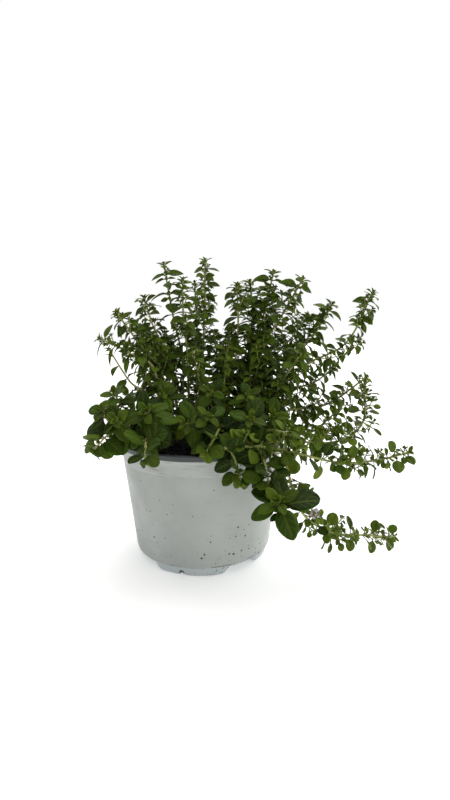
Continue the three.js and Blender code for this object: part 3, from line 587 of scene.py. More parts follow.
def thyme_leaf():
    """Living thyme leaf: a thin waxy skin, deep green above and paler below, yellow-green while
    young, with a pale sunk midrib, arched side veins and pin-prick oil glands."""
    material, shader = new_material("thyme_leaf")
    yellow, tone, under = plant_traits(material)
    place = add(material, "TexCoord", {}).outputs["Object"]
    spread = add(material, "UVMap", {}, uv_map="blade")
    blade = add(material, "SeparateXYZ", {"Vector": spread}).outputs

    # distance from the midrib, 0 there and 1 at the margin
    off = add(material, "Math", {0: blade["X"], 1: 0.5}, operation="SUBTRACT")
    off = add(material, "Math", {0: off}, operation="ABSOLUTE")
    off = add(material, "Math", {0: off, 1: 2.0}, operation="MULTIPLY")
    midrib = add(material, "MapRange", {"Value": off, "From Min": 0.04, "From Max": 0.14,
                                        "To Min": 1.0, "To Max": 0.0}, **SMOOTH)
    # side veins leave the midrib and arch forward, VEINS of them on each side
    arch = add(material, "Math", {0: off, 1: -0.32, 2: blade["Y"]}, operation="MULTIPLY_ADD")
    wave = add(material, "Math", {0: arch, 1: VEINS}, operation="MULTIPLY")
    wave = add(material, "Math", {0: wave, 1: 0.5}, operation="PINGPONG")
    side_vein = add(material, "MapRange", {"Value": wave, "From Min": 0.04, "From Max": 0.14,
                                           "To Min": 0.55, "To Max": 0.0}, **SMOOTH)
    vein = add(material, "Math", {0: side_vein, 1: midrib}, operation="MAXIMUM")
    lit_vein = add(material, "Math", {0: vein, 1: 0.4}, operation="MULTIPLY")

    # leaf to leaf and across a leaf, the green varies from blue-dark to bright
    mottle = add(material, "TexNoise", {"Vector": place, "Scale": per_mm(5), "Detail": 3.0})
    varied = add(material, "Math", {0: mottle, 1: 0.5, 2: tone}, operation="MULTIPLY_ADD")
    bright = add(material, "MapRange", {"Value": varied, "From Min": 0.2, "From Max": 1.25},
                 **SMOOTH)
    pale = add(material, "Math", {0: under, 1: 0.6}, operation="MULTIPLY")
    gloss = add(material, "MapRange", {"Value": mottle, "From Min": 0.3, "From Max": 0.7,
                                       "To Min": 0.42, "To Max": 0.56}, **SMOOTH)

    # oil glands are about 0.1 mm, drawn 0.8 mm apart so that they show
    glands = add(material, "TexVoronoi", {"Vector": place, "Scale": per_mm(0.8)})
    pits = add(material, "MapRange", {"Value": glands, "From Max": 0.35, "To Max": 0.25},
               **SMOOTH)
    relief = add(material, "Math", {0: vein, 1: -0.7, 2: pits}, operation="MULTIPLY_ADD")
    bump = add(material, "Bump", {"Height": relief, "Strength": 0.75, "Distance": 0.25 * MM})
    colour = painted(material, LEAF_DARK, [(bright, LEAF_BRIGHT), (yellow, LEAF_YOUNG),
                                           (pale, LEAF_UNDER), (lit_vein, LEAF_VEIN)])
    # fine down gives the turned edges a pale velvet bloom, and light comes through the thin blade
    fill(material, shader, {
        "Base Color": colour, "Roughness": gloss, "Normal": bump,
        "IOR": 1.4, "Specular IOR Level": 0.12,
        "Sheen Weight": 0.08, "Sheen Roughness": 0.5, "Sheen Tint": linear(DOWN),
        "Subsurface Weight": 0.14, "Subsurface Radius": (0.45, 1.0, 0.12),
        "Subsurface Scale": 0.6 * MM})
    return material


def thyme_stem():
    """Thyme stem: grey-brown cracked bark at the foot, turning to a smooth yellow-green skin."""
    material, shader = new_material("thyme_stem")
    green, tone, _ = plant_traits(material)
    place = add(material, "TexCoord", {}).outputs["Object"]
    fibres = add(material, "TexNoise",
                 {"Vector": place, "Scale": per_mm(1.5), "Detail": 4.0, "Roughness": 0.7})
    cracked = add(material, "MapRange", {"Value": fibres, "From Min": 0.35, "From Max": 0.65},
                  **SMOOTH)
    edge = add(material, "Math", {0: fibres, 1: 0.3, 2: green}, operation="MULTIPLY_ADD")
    skinned = add(material, "MapRange", {"Value": edge, "From Min": 0.3, "From Max": 0.62},
                  **SMOOTH)
    bark = painted(material, BARK_DARK, [(cracked, BARK_PALE)])
    skin = painted(material, STEM_GREEN, [(tone, STEM_PALE)])
    colour = painted(material, bark, [(skinned, skin)])
    bump = add(material, "Bump", {"Height": fibres, "Strength": 0.4, "Distance": 0.15 * MM})
    fill(material, shader, {"Base Color": colour, "Roughness": 0.58, "Normal": bump,
                            "Subsurface Weight": 0.1, "Subsurface Scale": 0.5 * MM})
    return material


def thyme_petal():
    """Thyme petal: thin and velvety, pale lilac with a purple throat, lit through a little."""
    material, shader = new_material("thyme_petal")
    from_throat, _, _ = plant_traits(material)
    place = add(material, "TexCoord", {}).outputs["Object"]
    spots = add(material, "TexNoise", {"Vector": place, "Scale": per_mm(1.2)})
    reach = add(material, "Math", {0: spots, 1: 0.4, 2: from_throat}, operation="MULTIPLY_ADD")
    pale = add(material, "MapRange", {"Value": reach, "From Min": 0.45, "From Max": 0.85},
               **SMOOTH)
    colour = painted(material, PETAL_THROAT, [(pale, PETAL_PALE)])
    fill(material, shader, {"Base Color": colour, "Roughness": 0.7, "Subsurface Weight": 0.2,
                            "Subsurface Scale": 0.5 * MM})
    return material


# ---- small helpers ----

UP = np.array((0.0, 0.0, 1.0))


def draw(a, b, c):
    """A seeded draw between 0 and 1, the same for the same three numbers. The last number tells
    the draws for one thing apart."""
    s = math.sin(a * 12.9898 + b * 78.233 + c * 37.719) * 43758.5453
    return s - math.floor(s)


def unit(v):
    """v made a unit long."""
    return v / np.linalg.norm(v)


def across_to(v, axis):
    """The part of v square to axis, made a unit long."""
    return unit(v - axis * np.dot(v, axis))


def smooth(value, low, high):
    """0 below low, 1 above high, and eased in between."""
    t = np.clip((value - low) / (high - low), 0, 1)
    return t * t * (3 - 2 * t)


def arc(centre, radius, start, end, steps):
    """Points of an arc in a profile, from one angle in degrees to another."""
    angles = np.radians(np.linspace(start, end, steps))
    return [(centre[0] + radius * math.cos(a), centre[1] + radius * math.sin(a)) for a in angles]


def back_stems():
    """The back of the bush repeats the front's habit: outer stems lean out, inner ones stand."""
    rows = []
    for i in range(BACK_STEMS):
        angle = math.radians(BACK_FROM + (BACK_TO - BACK_FROM) * (i + 0.5) / BACK_STEMS)
        root, reach, height, low_share, high_share = BACK_KINDS[i % 3]
        root = root - BACK_ROOT_SPREAD * draw(i, 1, 9)
        reach = reach + BACK_REACH_SPREAD * (draw(i, 2, 9) - 0.5)
        rise = height + BACK_HEIGHT_SPREAD * (draw(i, 3, 9) - 0.5) - COLLAR

        def at(r, share):
            return (r * math.cos(angle), r * math.sin(angle), COLLAR + rise * share)

        points = [at(root + (reach - root) * 0.15, low_share),
                  at(root + (reach - root) * 0.5, high_share), at(reach, 1)]
        leaf = BACK_LEAF + BACK_LEAF_SPREAD * draw(i, 4, 9)
        rows.append((f"back_{i + 1}", "bush", at(root, 0)[:2], points, leaf, *BACK_LEAVES))
    return rows


# ---- centre lines ----

class Path:
    """A smooth line through points, with a frame along it: along, across and third. The frame
    turns about the line by so many radians a millimetre."""

    def __init__(self, points, across, steps=CURVE_STEPS, twist=0.0):
        self.twist = twist
        points = [np.array(p, float) for p in points]
        points = [2 * points[0] - points[1], *points, 2 * points[-1] - points[-2]]
        spans = len(points) - 3
        self.at = []
        for step in range(steps + 1):
            i = min(int(step * spans / steps), spans - 1)
            t = step * spans / steps - i
            a, b, c, d = points[i:i + 4]
            self.at.append(b + 0.5 * t * (c - a + t * (2 * a - 5 * b + 4 * c - d
                                                       + t * (3 * b - a - 3 * c + d))))
        self.at = np.array(self.at)
        self.s = np.concatenate(([0], np.cumsum(np.linalg.norm(np.diff(self.at, axis=0), axis=1))))
        self.length = self.s[-1]
        self.along = [unit(self.at[min(i + 1, steps)] - self.at[max(i - 1, 0)])
                      for i in range(steps + 1)]
        self.across = []
        for along in self.along:
            across = across_to(across, along)
            self.across.append(across)

    def station(self, s):
        """Place, along, across and third at a distance along the line."""
        i = int(np.clip(np.searchsorted(self.s, s) - 1, 0, len(self.s) - 2))
        share = float(np.clip((s - self.s[i]) / (self.s[i + 1] - self.s[i]), 0, 1))
        along = unit(self.along[i] * (1 - share) + self.along[i + 1] * share)
        across = across_to(self.across[i] * (1 - share) + self.across[i + 1] * share, along)
        at = self.at[i] * (1 - share) + self.at[i + 1] * share
        third = np.cross(along, across)
        angle = self.twist * s
        across = across * math.cos(angle) + third * math.sin(angle)
        return at, along, across, np.cross(along, across)


def settle(rows):
    """Bends a stem that would pass too close to an earlier one a little nearer or further back."""
    lines, settled = [], []
    for row in rows:
        root, points = row[2], row[3]
        for i in range(NUDGES + 1):
            shift = NUDGE * math.ceil(i / 2) * (1 if i % 2 else -1)
            moved = [(x, y + shift, z) for x, y, z in points]
            line = Path([(*root, COLLAR), *moved], np.array((1.0, 0, 0))).at
            apart = min((np.min(np.linalg.norm(line[:, None] - other[None], axis=2))
                         for other in lines), default=STEM_SPACE)
            if apart >= STEM_SPACE:
                break
        lines.append(line)
        settled.append((*row[:3], moved, *row[4:]))
    return settled


def pair_distances(length, gap, bare):
    """Distances from the tip back to each leaf pair: close at the tip, then a steady gap."""
    distances = [FIRST_PAIR]
    share = TIP_GAP
    while distances[-1] + gap * share < length * (1 - bare):
        distances.append(distances[-1] + gap * share)
        share = min(share + GAP_GROWTH, 1)
    return distances


# ---- meshes ----

# the places of a sprig's materials
LEAF = 0
STEM = 1
PETAL = 2


class Pieces:
    """Vertices, faces and their traits, gathered before one mesh is made of them."""

    def __init__(self):
        self.points, self.faces, self.slots, self.spread, self.growth = [], [], [], [], []
        self.count = 0

    def add(self, points, faces, slot, spread, growth):
        """spread is where each point is on its blade. growth is how yellow it is, or on a stem how
        green, its tone, and whether it is an underside."""
        self.points.append(points)
        self.faces.extend([[self.count + i for i in face] for face in faces])
        self.slots.extend([slot] * len(faces))
        self.spread.append(spread)
        self.growth.append(growth)
        self.count += len(points)

    def add_plain(self, points, faces):
        """Points and faces of the first material, with no traits."""
        self.add(points, faces, 0, np.zeros((len(points), 2)), np.zeros((len(points), 3)))


def make_piece(name, gathered, materials, replaced):
    """One mesh object of gathered pieces, in metres, that rides with the pot."""
    points = np.concatenate(gathered.points) * MM
    mesh = bpy.data.meshes.new(name)
    mesh.from_pydata(points.tolist(), [], gathered.faces)
    mesh.polygons.foreach_set("material_index", gathered.slots)
    for material in materials:
        mesh.materials.append(material)
    corners = np.zeros(len(mesh.loops), np.int32)
    mesh.loops.foreach_get("vertex_index", corners)
    spread = mesh.uv_layers.new(name="blade")
    spread.uv.foreach_set("vector", np.concatenate(gathered.spread)[corners].ravel())
    growth = np.concatenate(gathered.growth)
    colours = mesh.attributes.new("growth", "FLOAT_COLOR", "POINT")
    colours.data.foreach_set("color", np.column_stack([growth, np.ones(len(growth))]).ravel())
    mesh.shade_smooth()
    mesh.update()
    made = bpy.data.objects.new(name, mesh)
    bpy.context.scene.collection.objects.link(made)
    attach(made, "root")
    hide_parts(*replaced)
    return made


def ring_faces(rings, count):
    """Quads between rings of so many points each."""
    faces = []
    for i in range(rings - 1):
        for j in range(count):
            k = (j + 1) % count
            faces.append([i * count + j, i * count + k, (i + 1) * count + k, (i + 1) * count + j])
    return faces


def tube_faces(rings, count):
    """The faces of a closed body made of rings, with a flat end on each side."""
    last = count * (rings - 1)
    return [*ring_faces(rings, count), list(range(count - 1, -1, -1)),
            [last + j for j in range(count)]]


def ring(radius, z, count):
    """A level ring of points round the pot's middle. Its z may differ from point to point."""
    turn = np.arange(count) * 2 * np.pi / count
    return np.column_stack([radius * np.cos(turn), radius * np.sin(turn), np.full(count, z)])


# ---- leaves ----

class LeafPlan:
    """The points of a leaf before it is sized: rings of top points and inner underside points."""

    def __init__(self, stations, top):
        under = list(reversed(top[1:-1]))
        self.u = np.repeat(stations, len(top) + len(under))
        self.v = np.tile(top + under, len(stations))
        self.under = np.tile([0.0] * len(top) + [1.0] * len(under), len(stations))
        self.faces = tube_faces(len(stations), len(top) + len(under))


FULL_LEAF = LeafPlan([0, 0.07, 0.16, 0.27, 0.4, 0.54, 0.68, 0.81, 0.91, 0.97, 1.0],
                     [-1, -0.55, -0.1, 0, 0.1, 0.55, 1])
SMALL_LEAF = LeafPlan([0, 0.12, 0.3, 0.5, 0.72, 0.9, 1.0], [-1, 0, 1])


def leaf_points(plan, base, out, top, length, width, looks):
    """Places a leaf: a short stalk, an egg-shaped blade folded a little along its midrib, with
    its sides arched down and its tip drooping."""
    stalk, rounded, widest, fold, droop, twist = looks
    right = np.cross(top, out)
    t = np.clip((plan.u - stalk) / (1 - stalk), 0, 1)
    blade = np.sin(np.pi * t ** widest) ** rounded * width / 2
    # the stalk runs on under the blade and is thicker on a longer leaf
    neck = STALK_HALF * np.clip(1.6 - t, 0, 1) * (length / STALK_OF) ** 0.5
    half = np.where(plan.u >= 1, TIP_HALF, np.maximum(blade, neck))
    y = plan.v * half
    arched = np.abs(plan.v) * half
    z = fold * arched - FOLD_EASE * fold * arched ** 2 / (width / 2)
    z = z + length * (ARCH * plan.u - (ARCH + droop) * plan.u ** 2)
    # the midrib is sunk along the blade, but not on the stalk or at the very tip
    sunk = (np.abs(plan.v) < 0.05) & (plan.u > stalk) & (plan.u < 0.95)
    z = z - np.where(sunk, RIB_DEPTH, 0.0) * (1 - plan.under) * min(1, width / 5)
    # the blade thins towards its margin and its tip, and the stalk is thicker
    thick = LEAF_THICK * (1 - 0.5 * np.abs(plan.v)) * np.where(plan.u < stalk, 1.5, 1)
    z = z - plan.under * thick * np.where(plan.u >= 1, 0.1, 1)
    angle = twist * plan.u
    y, z = y * np.cos(angle) - z * np.sin(angle), y * np.sin(angle) + z * np.cos(angle)
    x = plan.u * length
    return base + x[:, None] * out + y[:, None] * right + z[:, None] * top


def add_leaf(gathered, plan, points, yellow, tone):
    """Adds a leaf's points and faces, with how yellow it is and how bright its green is."""
    growth = np.column_stack([np.full(len(points), yellow), np.full(len(points), tone),
                              plan.under])
    spread = np.column_stack([0.5 + plan.v / 2, plan.u])
    gathered.add(points, plan.faces, LEAF, spread, growth)


def in_pot(points):
    """True if a point lies in the pot's wall, its lip or the soil, or near the ground."""
    radius = np.hypot(points[:, 0], points[:, 1])
    z = points[:, 2]
    wall = (radius < LIP_RADIUS + POT_SPACE) & (z < POT_HEIGHT + 0.6)
    above_soil = (radius < inner_radius(SOIL_TOP) - POT_SPACE) & (z > SOIL_TOP + SOIL_SPACE)
    return bool(np.any(wall & ~above_soil) or np.min(z) < TABLE_SPACE)


# The points of the leaves and flowers that are grown, by the cell that each lies in.
crowd = {}


def crowded(points):
    """True if points come too near those of a leaf or a flower that is grown already."""
    for p in points:
        x, y, z = (int(c // CROWD_CELL) for c in p)
        for i in (x - 1, x, x + 1):
            for j in (y - 1, y, y + 1):
                for k in (z - 1, z, z + 1):
                    for q in crowd.get((i, j, k), ()):
                        if np.linalg.norm(p - q) < CROWD_NEAR:
                            return True
    return False


def remember(points):
    """Keeps the room that a leaf or a flower takes up."""
    for p in points:
        cell = tuple(int(c // CROWD_CELL) for c in p)
        crowd.setdefault(cell, []).append(p)


def off_stem(facing, along, angle):
    """The way that a leaf or a shoot points, at an angle off its stem."""
    return facing * math.sin(angle) + along * math.cos(angle)


def grow_leaf(gathered, station, facing, length, kind, open_angle, seed, youth):
    """Grows one leaf from the side of a stem, swung until it is clear of the pot and the rest."""
    at, along = station[0], station[1]
    habit, ratio = kind
    base = at + facing * STALK_HALF
    roll = math.radians(habit["roll"] * (draw(*seed, 11) - 0.5) * 2)
    looks = (habit["stalk"], habit["round"], habit["widest"],
             FOLD_LEAST + FOLD_SPREAD * draw(*seed, 12), habit["droop"] * (0.5 + draw(*seed, 13)),
             TWIST_SPREAD * (draw(*seed, 14) - 0.5))
    plan = FULL_LEAF if length > FULL_LEAF_ABOVE else SMALL_LEAF
    away = np.array((at[0], at[1], 0)) / max(math.hypot(at[0], at[1]), LIP_RADIUS)
    light = UP + away * LIGHT_OUTWARD
    turned = min(TURN_TO_LIGHT * (1 - along[2]), TURN_MOST)
    for swing, size in SWINGS:
        angle = math.radians(open_angle + swing)
        out = off_stem(facing, along, angle)
        out = unit(out - UP * habit["hang"] * (1 - abs(along[2])))
        top = along * math.sin(angle) - facing * math.cos(angle)
        top = across_to(top + (light - top) * turned, out)
        top = across_to(top * math.cos(roll) + np.cross(out, top) * math.sin(roll), out)
        points = leaf_points(plan, base, out, top, length * size, length * size * ratio, looks)
        probes = points[len(points) // 3::5]
        if in_pot(points[len(points) // 4:]) or crowded(probes):
            continue
        remember(probes)
        yellow = min(1, youth + 2 * habit["yellow"] * draw(*seed, 16))
        add_leaf(gathered, plan, points, yellow, draw(*seed, 15) + habit["tone"])
        return True
    return False


def grow_bud(gathered, path, length, kind, seed):
    """Closes a stem's tip with young leaves that stand close around it."""
    habit, ratio = kind
    at, along, across, third = path.station(path.length - NODE_HALF)
    for k, (lean, share) in enumerate(BUD_PAIRS):
        angle = math.radians(lean)
        side = third if k else across
        for n, facing in enumerate((side, -side)):
            mark = (seed[0] + n, seed[1] + k)
            size = max(length * share * (0.8 + 0.4 * draw(*mark, 17)), BUD_LEAST)
            looks = (habit["stalk"], habit["round"], habit["widest"], BUD_FOLD, habit["droop"], 0)
            out = off_stem(facing, along, angle)
            top = along * math.sin(angle) - facing * math.cos(angle)
            points = leaf_points(SMALL_LEAF, at + facing * STALK_HALF, out, top, size,
                                 size * ratio, looks)
            add_leaf(gathered, SMALL_LEAF, points, 0.5 + 0.4 * draw(*mark, 18), habit["tone"])


# ---- stems ----

def grow_hairs(gathered, path, halves, green, seed):
    """Short pale hairs that stand out all round the green part of a stem, each a closed spike."""
    faces = [[0, 2, 1], [0, 1, 3], [1, 2, 3], [2, 0, 3]]
    for i in range(int(path.length / HAIR_STEP)):
        s = path.length * draw(seed[0], seed[1] + i, 51)
        share = s / path.length
        if green + (1 - green) * share < HAIRY_ABOVE:
            continue
        at, along, across, third = path.station(s)
        angle = 2 * math.pi * draw(seed[0] + i, seed[1], 52)
        out = across * math.cos(angle) + third * math.sin(angle)
        side = np.cross(along, out)
        half = halves[0] + (halves[1] - halves[0]) * share
        root = at + out * (half - HAIR_ROOT)
        tip = root + (out + along * HAIR_LEAN) * HAIR_LONG * (
            0.5 + draw(seed[0], seed[1] + i, 53))
        points = np.array([root + side * HAIR_HALF, root - side * HAIR_HALF,
                           root + along * HAIR_HALF * 1.7, tip])
        growth = np.tile((1.0, 1.0, 0.0), (4, 1))
        gathered.add(points, faces, STEM, np.full((4, 2), 0.5), growth)


def grow_stem(gathered, path, halves, green, seed, foot=None):
    """A tube along a path, a little uneven and squarish, and rounded off at its tip. It goes from
    woody to green by two numbers, and down to a foot in the soil where it has one."""
    rings = max(3, int(path.length / RING_STEP))
    stations = [(path.length * i / rings, path.station(path.length * i / rings))
                for i in range(rings + 1)]
    points, growth = [], []
    if foot is not None:
        stations.insert(0, (0, (foot, UP, *path.station(0)[2:])))
    for s, (at, _, across, third) in stations:
        share = s / path.length
        uneven = 0.95 + STEM_KNOT * draw(*seed, s)
        half = (halves[0] + (halves[1] - halves[0]) * share) * uneven
        for j in range(STEM_SIDES):
            angle = 2 * math.pi * (j + 0.5) / STEM_SIDES
            square = 1 + STEM_SQUARE * math.cos(4 * angle + math.pi)
            points.append(at + half * square * (across * math.cos(angle)
                                                + third * math.sin(angle)))
            growth.append((green[0] + (green[1] - green[0]) * share, draw(*seed, 3), 0))
    tip = stations[-1][1]
    points.append(tip[0] + tip[1] * halves[1] * 1.4)
    growth.append((green[1], draw(*seed, 3), 0))
    faces = ring_faces(len(stations), STEM_SIDES)
    last = STEM_SIDES * (len(stations) - 1)
    faces.append(list(range(STEM_SIDES - 1, -1, -1)))
    faces += [[last + j, last + (j + 1) % STEM_SIDES, len(points) - 1]
              for j in range(STEM_SIDES)]
    spread = np.full((len(points), 2), 0.5)
    gathered.add(np.array(points), faces, STEM, spread, np.array(growth))


def grow_shoot(gathered, path, sizes, kind, seed, level):
    """Leaf pairs along a path, each pair turned a quarter from the last, with shoots of small
    leaves in their axils at level 0. Gives the number of leaves that found room."""
    length, gap, bare = sizes
    crowding = kind[0]["axils"] * min(1, kind[0]["usual"] / gap) ** 3
    placed = 0
    for k, distance in enumerate(pair_distances(path.length, gap, bare)):
        s = path.length - distance - NODE_HALF
        if s < 0:
            break
        station = path.station(s)
        _, _, across, third = station
        sides = (third, -third) if k % 2 == 0 else (-across, across)
        grown = min(1, TIP_LEAF + LEAF_GROWTH * k)
        open_angle = min(OPEN_MOST, OPEN_AT_TIP + OPEN_STEP * k)
        for n, facing in enumerate(sides):
            mark = (seed[0] * 7 + n, seed[1] * 31 + k)
            varied = SIZE_LEAST + SIZE_SPREAD * draw(*mark, 5)
            size = max(length * grown * varied, LEAST_LEAF)
            swing = OPEN_SPREAD * (draw(*mark, 6) - 0.5)
            youth = max(0.0, YOUTH_AT_TIP - YOUTH_STEP * k) * draw(*mark, 7)
            placed += grow_leaf(gathered, station, facing, size, kind, open_angle + swing, mark,
                                youth)
            if level == 0 and k >= 1 and draw(*mark, 21) < crowding:
                grow_axil(gathered, station, facing, length, kind, k, mark)
    if placed:
        grow_bud(gathered, path, length, kind, seed)
    return placed


def grow_axil(gathered, station, facing, leaf_length, kind, k, mark):
    """A small shoot in the axil of a leaf: a tuft near the tip, longer further down."""
    habit = kind[0]
    at, along, across = station[:3]
    short, long = habit["reach"]
    share = min(1, (k - 1) / AXIL_PAIRS)
    reach = (short + (long - short) * share) * (0.6 + 0.8 * draw(*mark, 22))
    lean = math.radians(AXIL_LEAN + AXIL_LEAN_SPREAD * draw(*mark, 23))
    out = off_stem(facing, along, lean)
    turned = unit(out + UP * habit["rise"])
    path = Path([at, at + out * reach * AXIL_BEND,
                 at + (out * AXIL_BEND + turned * (1 - AXIL_BEND)) * reach],
                across_to(across, out), SHOOT_STEPS)
    tip = path.at[-1]
    if in_pot(tip[None]) or crowded(tip[None]):
        return
    small = leaf_length * habit["small"] * (0.7 + 0.3 * share) * (0.8 + 0.4 * draw(*mark, 24))
    sizes = (small, AXIL_GAP, AXIL_BARE)
    if grow_shoot(gathered, path, sizes, kind, (mark[0] + 500, mark[1] + 13), 1):
        grow_stem(gathered, path, AXIL_HALVES, GREEN_SHOOT, mark)


# ---- the flower head ----

FLOWER_STEM = "trail_low"
FLOWER_AT = 0.59
FLOWER_STALK = 6
FLOWER_STALK_HALVES = (0.5, 0.4)
FLORETS = 6
FLORET_LEAN = 62
PETALS = 5
PETAL_STEPS = 4
FLORET_ROOM = (1, 1.6, 2.2)
# A floret's section, up its outside and down its inside: radius, height and how far it is lobed.
FLORET_PROFILE = [(0.35, 0.0, 0), (0.5, 0.6, 0), (0.6, 1.8, 0), (1.0, 2.7, 0.1), (1.9, 3.2, 0.35),
                  (2.6, 3.1, 0.42), (2.62, 3.2, 0.42), (1.8, 3.4, 0.35), (0.85, 2.9, 0.1),
                  (0.4, 1.9, 0)]


def grow_flower(gathered, path):
    """A head of small lilac flowers with five lobes, on a stalk."""
    at, _, across = path.station(path.length * FLOWER_AT)[:3]
    head = at + UP * FLOWER_STALK
    stalk = Path([at, at + UP * FLOWER_STALK / 2 + across * 0.5, head], across_to(across, UP),
                 SHOOT_STEPS)
    grow_stem(gathered, stalk, FLOWER_STALK_HALVES, GREEN_SHOOT, (FLORETS, 1))
    count = PETALS * PETAL_STEPS
    turn = 2 * np.pi * np.arange(count) / count
    for i in range(FLORETS):
        lean = math.radians(FLORET_LEAN * (0.8 + 0.3 * draw(i, 41, 1))) if i else 0.1
        way = 2 * math.pi * (i + 0.3 * draw(i, 41, 2)) / (FLORETS - 1)
        out = UP * math.cos(lean) + np.array((math.cos(way), math.sin(way), 0)) * math.sin(lean)
        side = across_to(np.array((math.sin(way), 0.3, math.cos(way))), out)
        other = np.cross(out, side)
        points, growth = [], []
        for k, (radius, height, lobed) in enumerate(FLORET_PROFILE):
            reach = radius * (1 + lobed * (np.abs(np.cos(turn * PETALS / 2)) - 0.6))
            points.append(head + height * out + reach[:, None] * (
                np.cos(turn)[:, None] * side + np.sin(turn)[:, None] * other))
            growth += [(min(radius / 2, 1), draw(i, 41, 3), 0)] * count
        faces = tube_faces(len(FLORET_PROFILE), count)
        points = np.concatenate(points)
        # leaves grow clear of the open flowers by about their own depth
        for wider in FLORET_ROOM:
            remember(head + (points[::2] - head) * wider)
        gathered.add(points, faces, PETAL, np.full((len(points), 2), 0.5), np.array(growth))


# ---- the whole plant ----

def make_thyme():
    """Every leafy stem, one piece each."""
    materials = [thyme_leaf(), thyme_stem(), thyme_petal()]
    rows = settle(STEMS + back_stems())
    for index, (name, habit, root, points, length, ratio, gap, bare) in enumerate(rows):
        turn = draw(index, 1, 1) * math.pi / 2
        path = Path([(*root, COLLAR), *points], np.array((math.cos(turn), math.sin(turn), 0)),
                    twist=HABITS[habit]["twist"])
        gathered = Pieces()
        foot = np.array((*root, SOIL_TOP - HOLE_DEPTH + FOOT_SPACE))
        green = (HABITS[habit]["green"], 1.0)
        halves = (STEM_THICK / 2, STEM_THIN / 2)
        grow_stem(gathered, path, halves, green, (index, 2), foot)
        grow_hairs(gathered, path, halves, green[0], (index, 2))
        if name == FLOWER_STEM:
            grow_flower(gathered, path)
        grow_shoot(gathered, path, (length, gap, bare), (HABITS[habit], ratio), (index, 1), 0)
        make_piece(f"sprig_{name}", gathered, materials, [f"thyme_{name}"])


# ---- pot ----

def inner_radius(z):
    """The radius of the pot's inside at a height."""
    share = (z - FOOT_HEIGHT) / (POT_HEIGHT - LIP_HEIGHT - FOOT_HEIGHT)
    return WALL_FOOT_RADIUS + (WALL_TOP_RADIUS - WALL_FOOT_RADIUS) * share - WALL


def foot_lift(angle):
    """How far the foot is lifted at an angle in degrees: 0 on a lobe, the notch's top between,
    and a little at the chip."""
    spacing = 360 / NOTCH_COUNT
    off = np.abs((angle - FIRST_NOTCH_AT + spacing / 2) % spacing - spacing / 2)
    notch = NOTCH_TOP * (1 - smooth(off, NOTCH_SPAN / 2 - NOTCH_EDGE,
                                    NOTCH_SPAN / 2 + NOTCH_EDGE))
    chip = CHIP_HEIGHT * np.clip(1 - np.abs(angle - CHIP_ANGLE) / CHIP_SPAN, 0, 1)
    return notch + chip


def pot_profile():
    """The pot's section from the middle of its underside, up its outside and down its inside.
    Points below FLOOR_UNDER belong to the foot and are lifted in the notches."""
    under = POT_HEIGHT - LIP_HEIGHT
    step_at = POT_HEIGHT - STEP_BELOW_TOP
    ring_in = FOOT_RADIUS - FOOT_WIDTH

    def outer(z):
        return inner_radius(z) + WALL

    # the pad under the middle, the floor's underside and the foot ring
    points = [(MIDDLE, 0), *arc((PAD_RADIUS - PAD_ROUND, PAD_ROUND), PAD_ROUND, -90, 0, 4),
              (PAD_RADIUS, FLOOR_UNDER - 0.1), (PAD_RADIUS + 0.2, FLOOR_UNDER),
              (ring_in - 1, FLOOR_UNDER)]
    points += [*arc((ring_in + PAD_ROUND, PAD_ROUND), PAD_ROUND, 180, 270, 4),
               *arc((FOOT_RADIUS - 1.2, FOOT_ROUND), FOOT_ROUND, -90, -20, 6)]
    # the ledge above the foot, the wall up to the step, and the step
    points += [(WALL_FOOT_RADIUS - 1, FLOOR_UNDER + 0.2),
               (WALL_FOOT_RADIUS - 0.25, FOOT_HEIGHT - 0.5), (WALL_FOOT_RADIUS - 0.25, FOOT_HEIGHT),
               (outer(FOOT_HEIGHT + 0.5), FOOT_HEIGHT + 0.5)]
    for share in (0.02, 0.05, 0.2, 0.4, 0.6, 0.8, 0.97):
        z = FOOT_HEIGHT + 0.5 + (step_at - FOOT_HEIGHT - 1.2) * share
        points.append((outer(z), z))
    points += [(outer(step_at) - STEP_DEPTH, step_at - 0.5),
               (outer(step_at) - STEP_DEPTH, step_at - 0.15),
               (outer(step_at), step_at + 0.15), (outer(step_at + 1), step_at + 1)]
    # the band under the lip, and the lip round to the mouth
    points += [(outer(under - 3), under - 3), (outer(under - 0.8), under - 0.8),
               (WALL_TOP_RADIUS + 0.4, under - 0.25), (LIP_RADIUS - 0.5, under - 0.05)]
    points += arc((LIP_RADIUS - LIP_UNDER_ROUND, under + LIP_UNDER_ROUND), LIP_UNDER_ROUND,
                  -60, 0, 3)
    points += [(LIP_RADIUS, under + 1.5), (LIP_RADIUS, POT_HEIGHT - 1)]
    points += arc((LIP_RADIUS - LIP_ROUND, POT_HEIGHT - LIP_ROUND), LIP_ROUND, 0, 90, 5)
    points += arc((WALL_TOP_RADIUS + MOUTH_ROUND, POT_HEIGHT - MOUTH_ROUND), MOUTH_ROUND,
                  90, 180, 4)
    points += [(WALL_TOP_RADIUS - 0.2, POT_HEIGHT - 1.5), (inner_radius(under) + 0.1, under + 0.3),
               (inner_radius(under - 1), under - 1)]
    # the inside down to the floor
    points += [(inner_radius(z), z) for z in (70, 50, 30, 15, FLOOR_TOP + 3)]
    points += [(inner_radius(FLOOR_TOP + 2) - 0.6, FLOOR_TOP + 1), (FOOT_RADIUS - 1, FLOOR_TOP),
               (30, FLOOR_TOP), (MIDDLE, FLOOR_TOP)]
    return np.array(points)


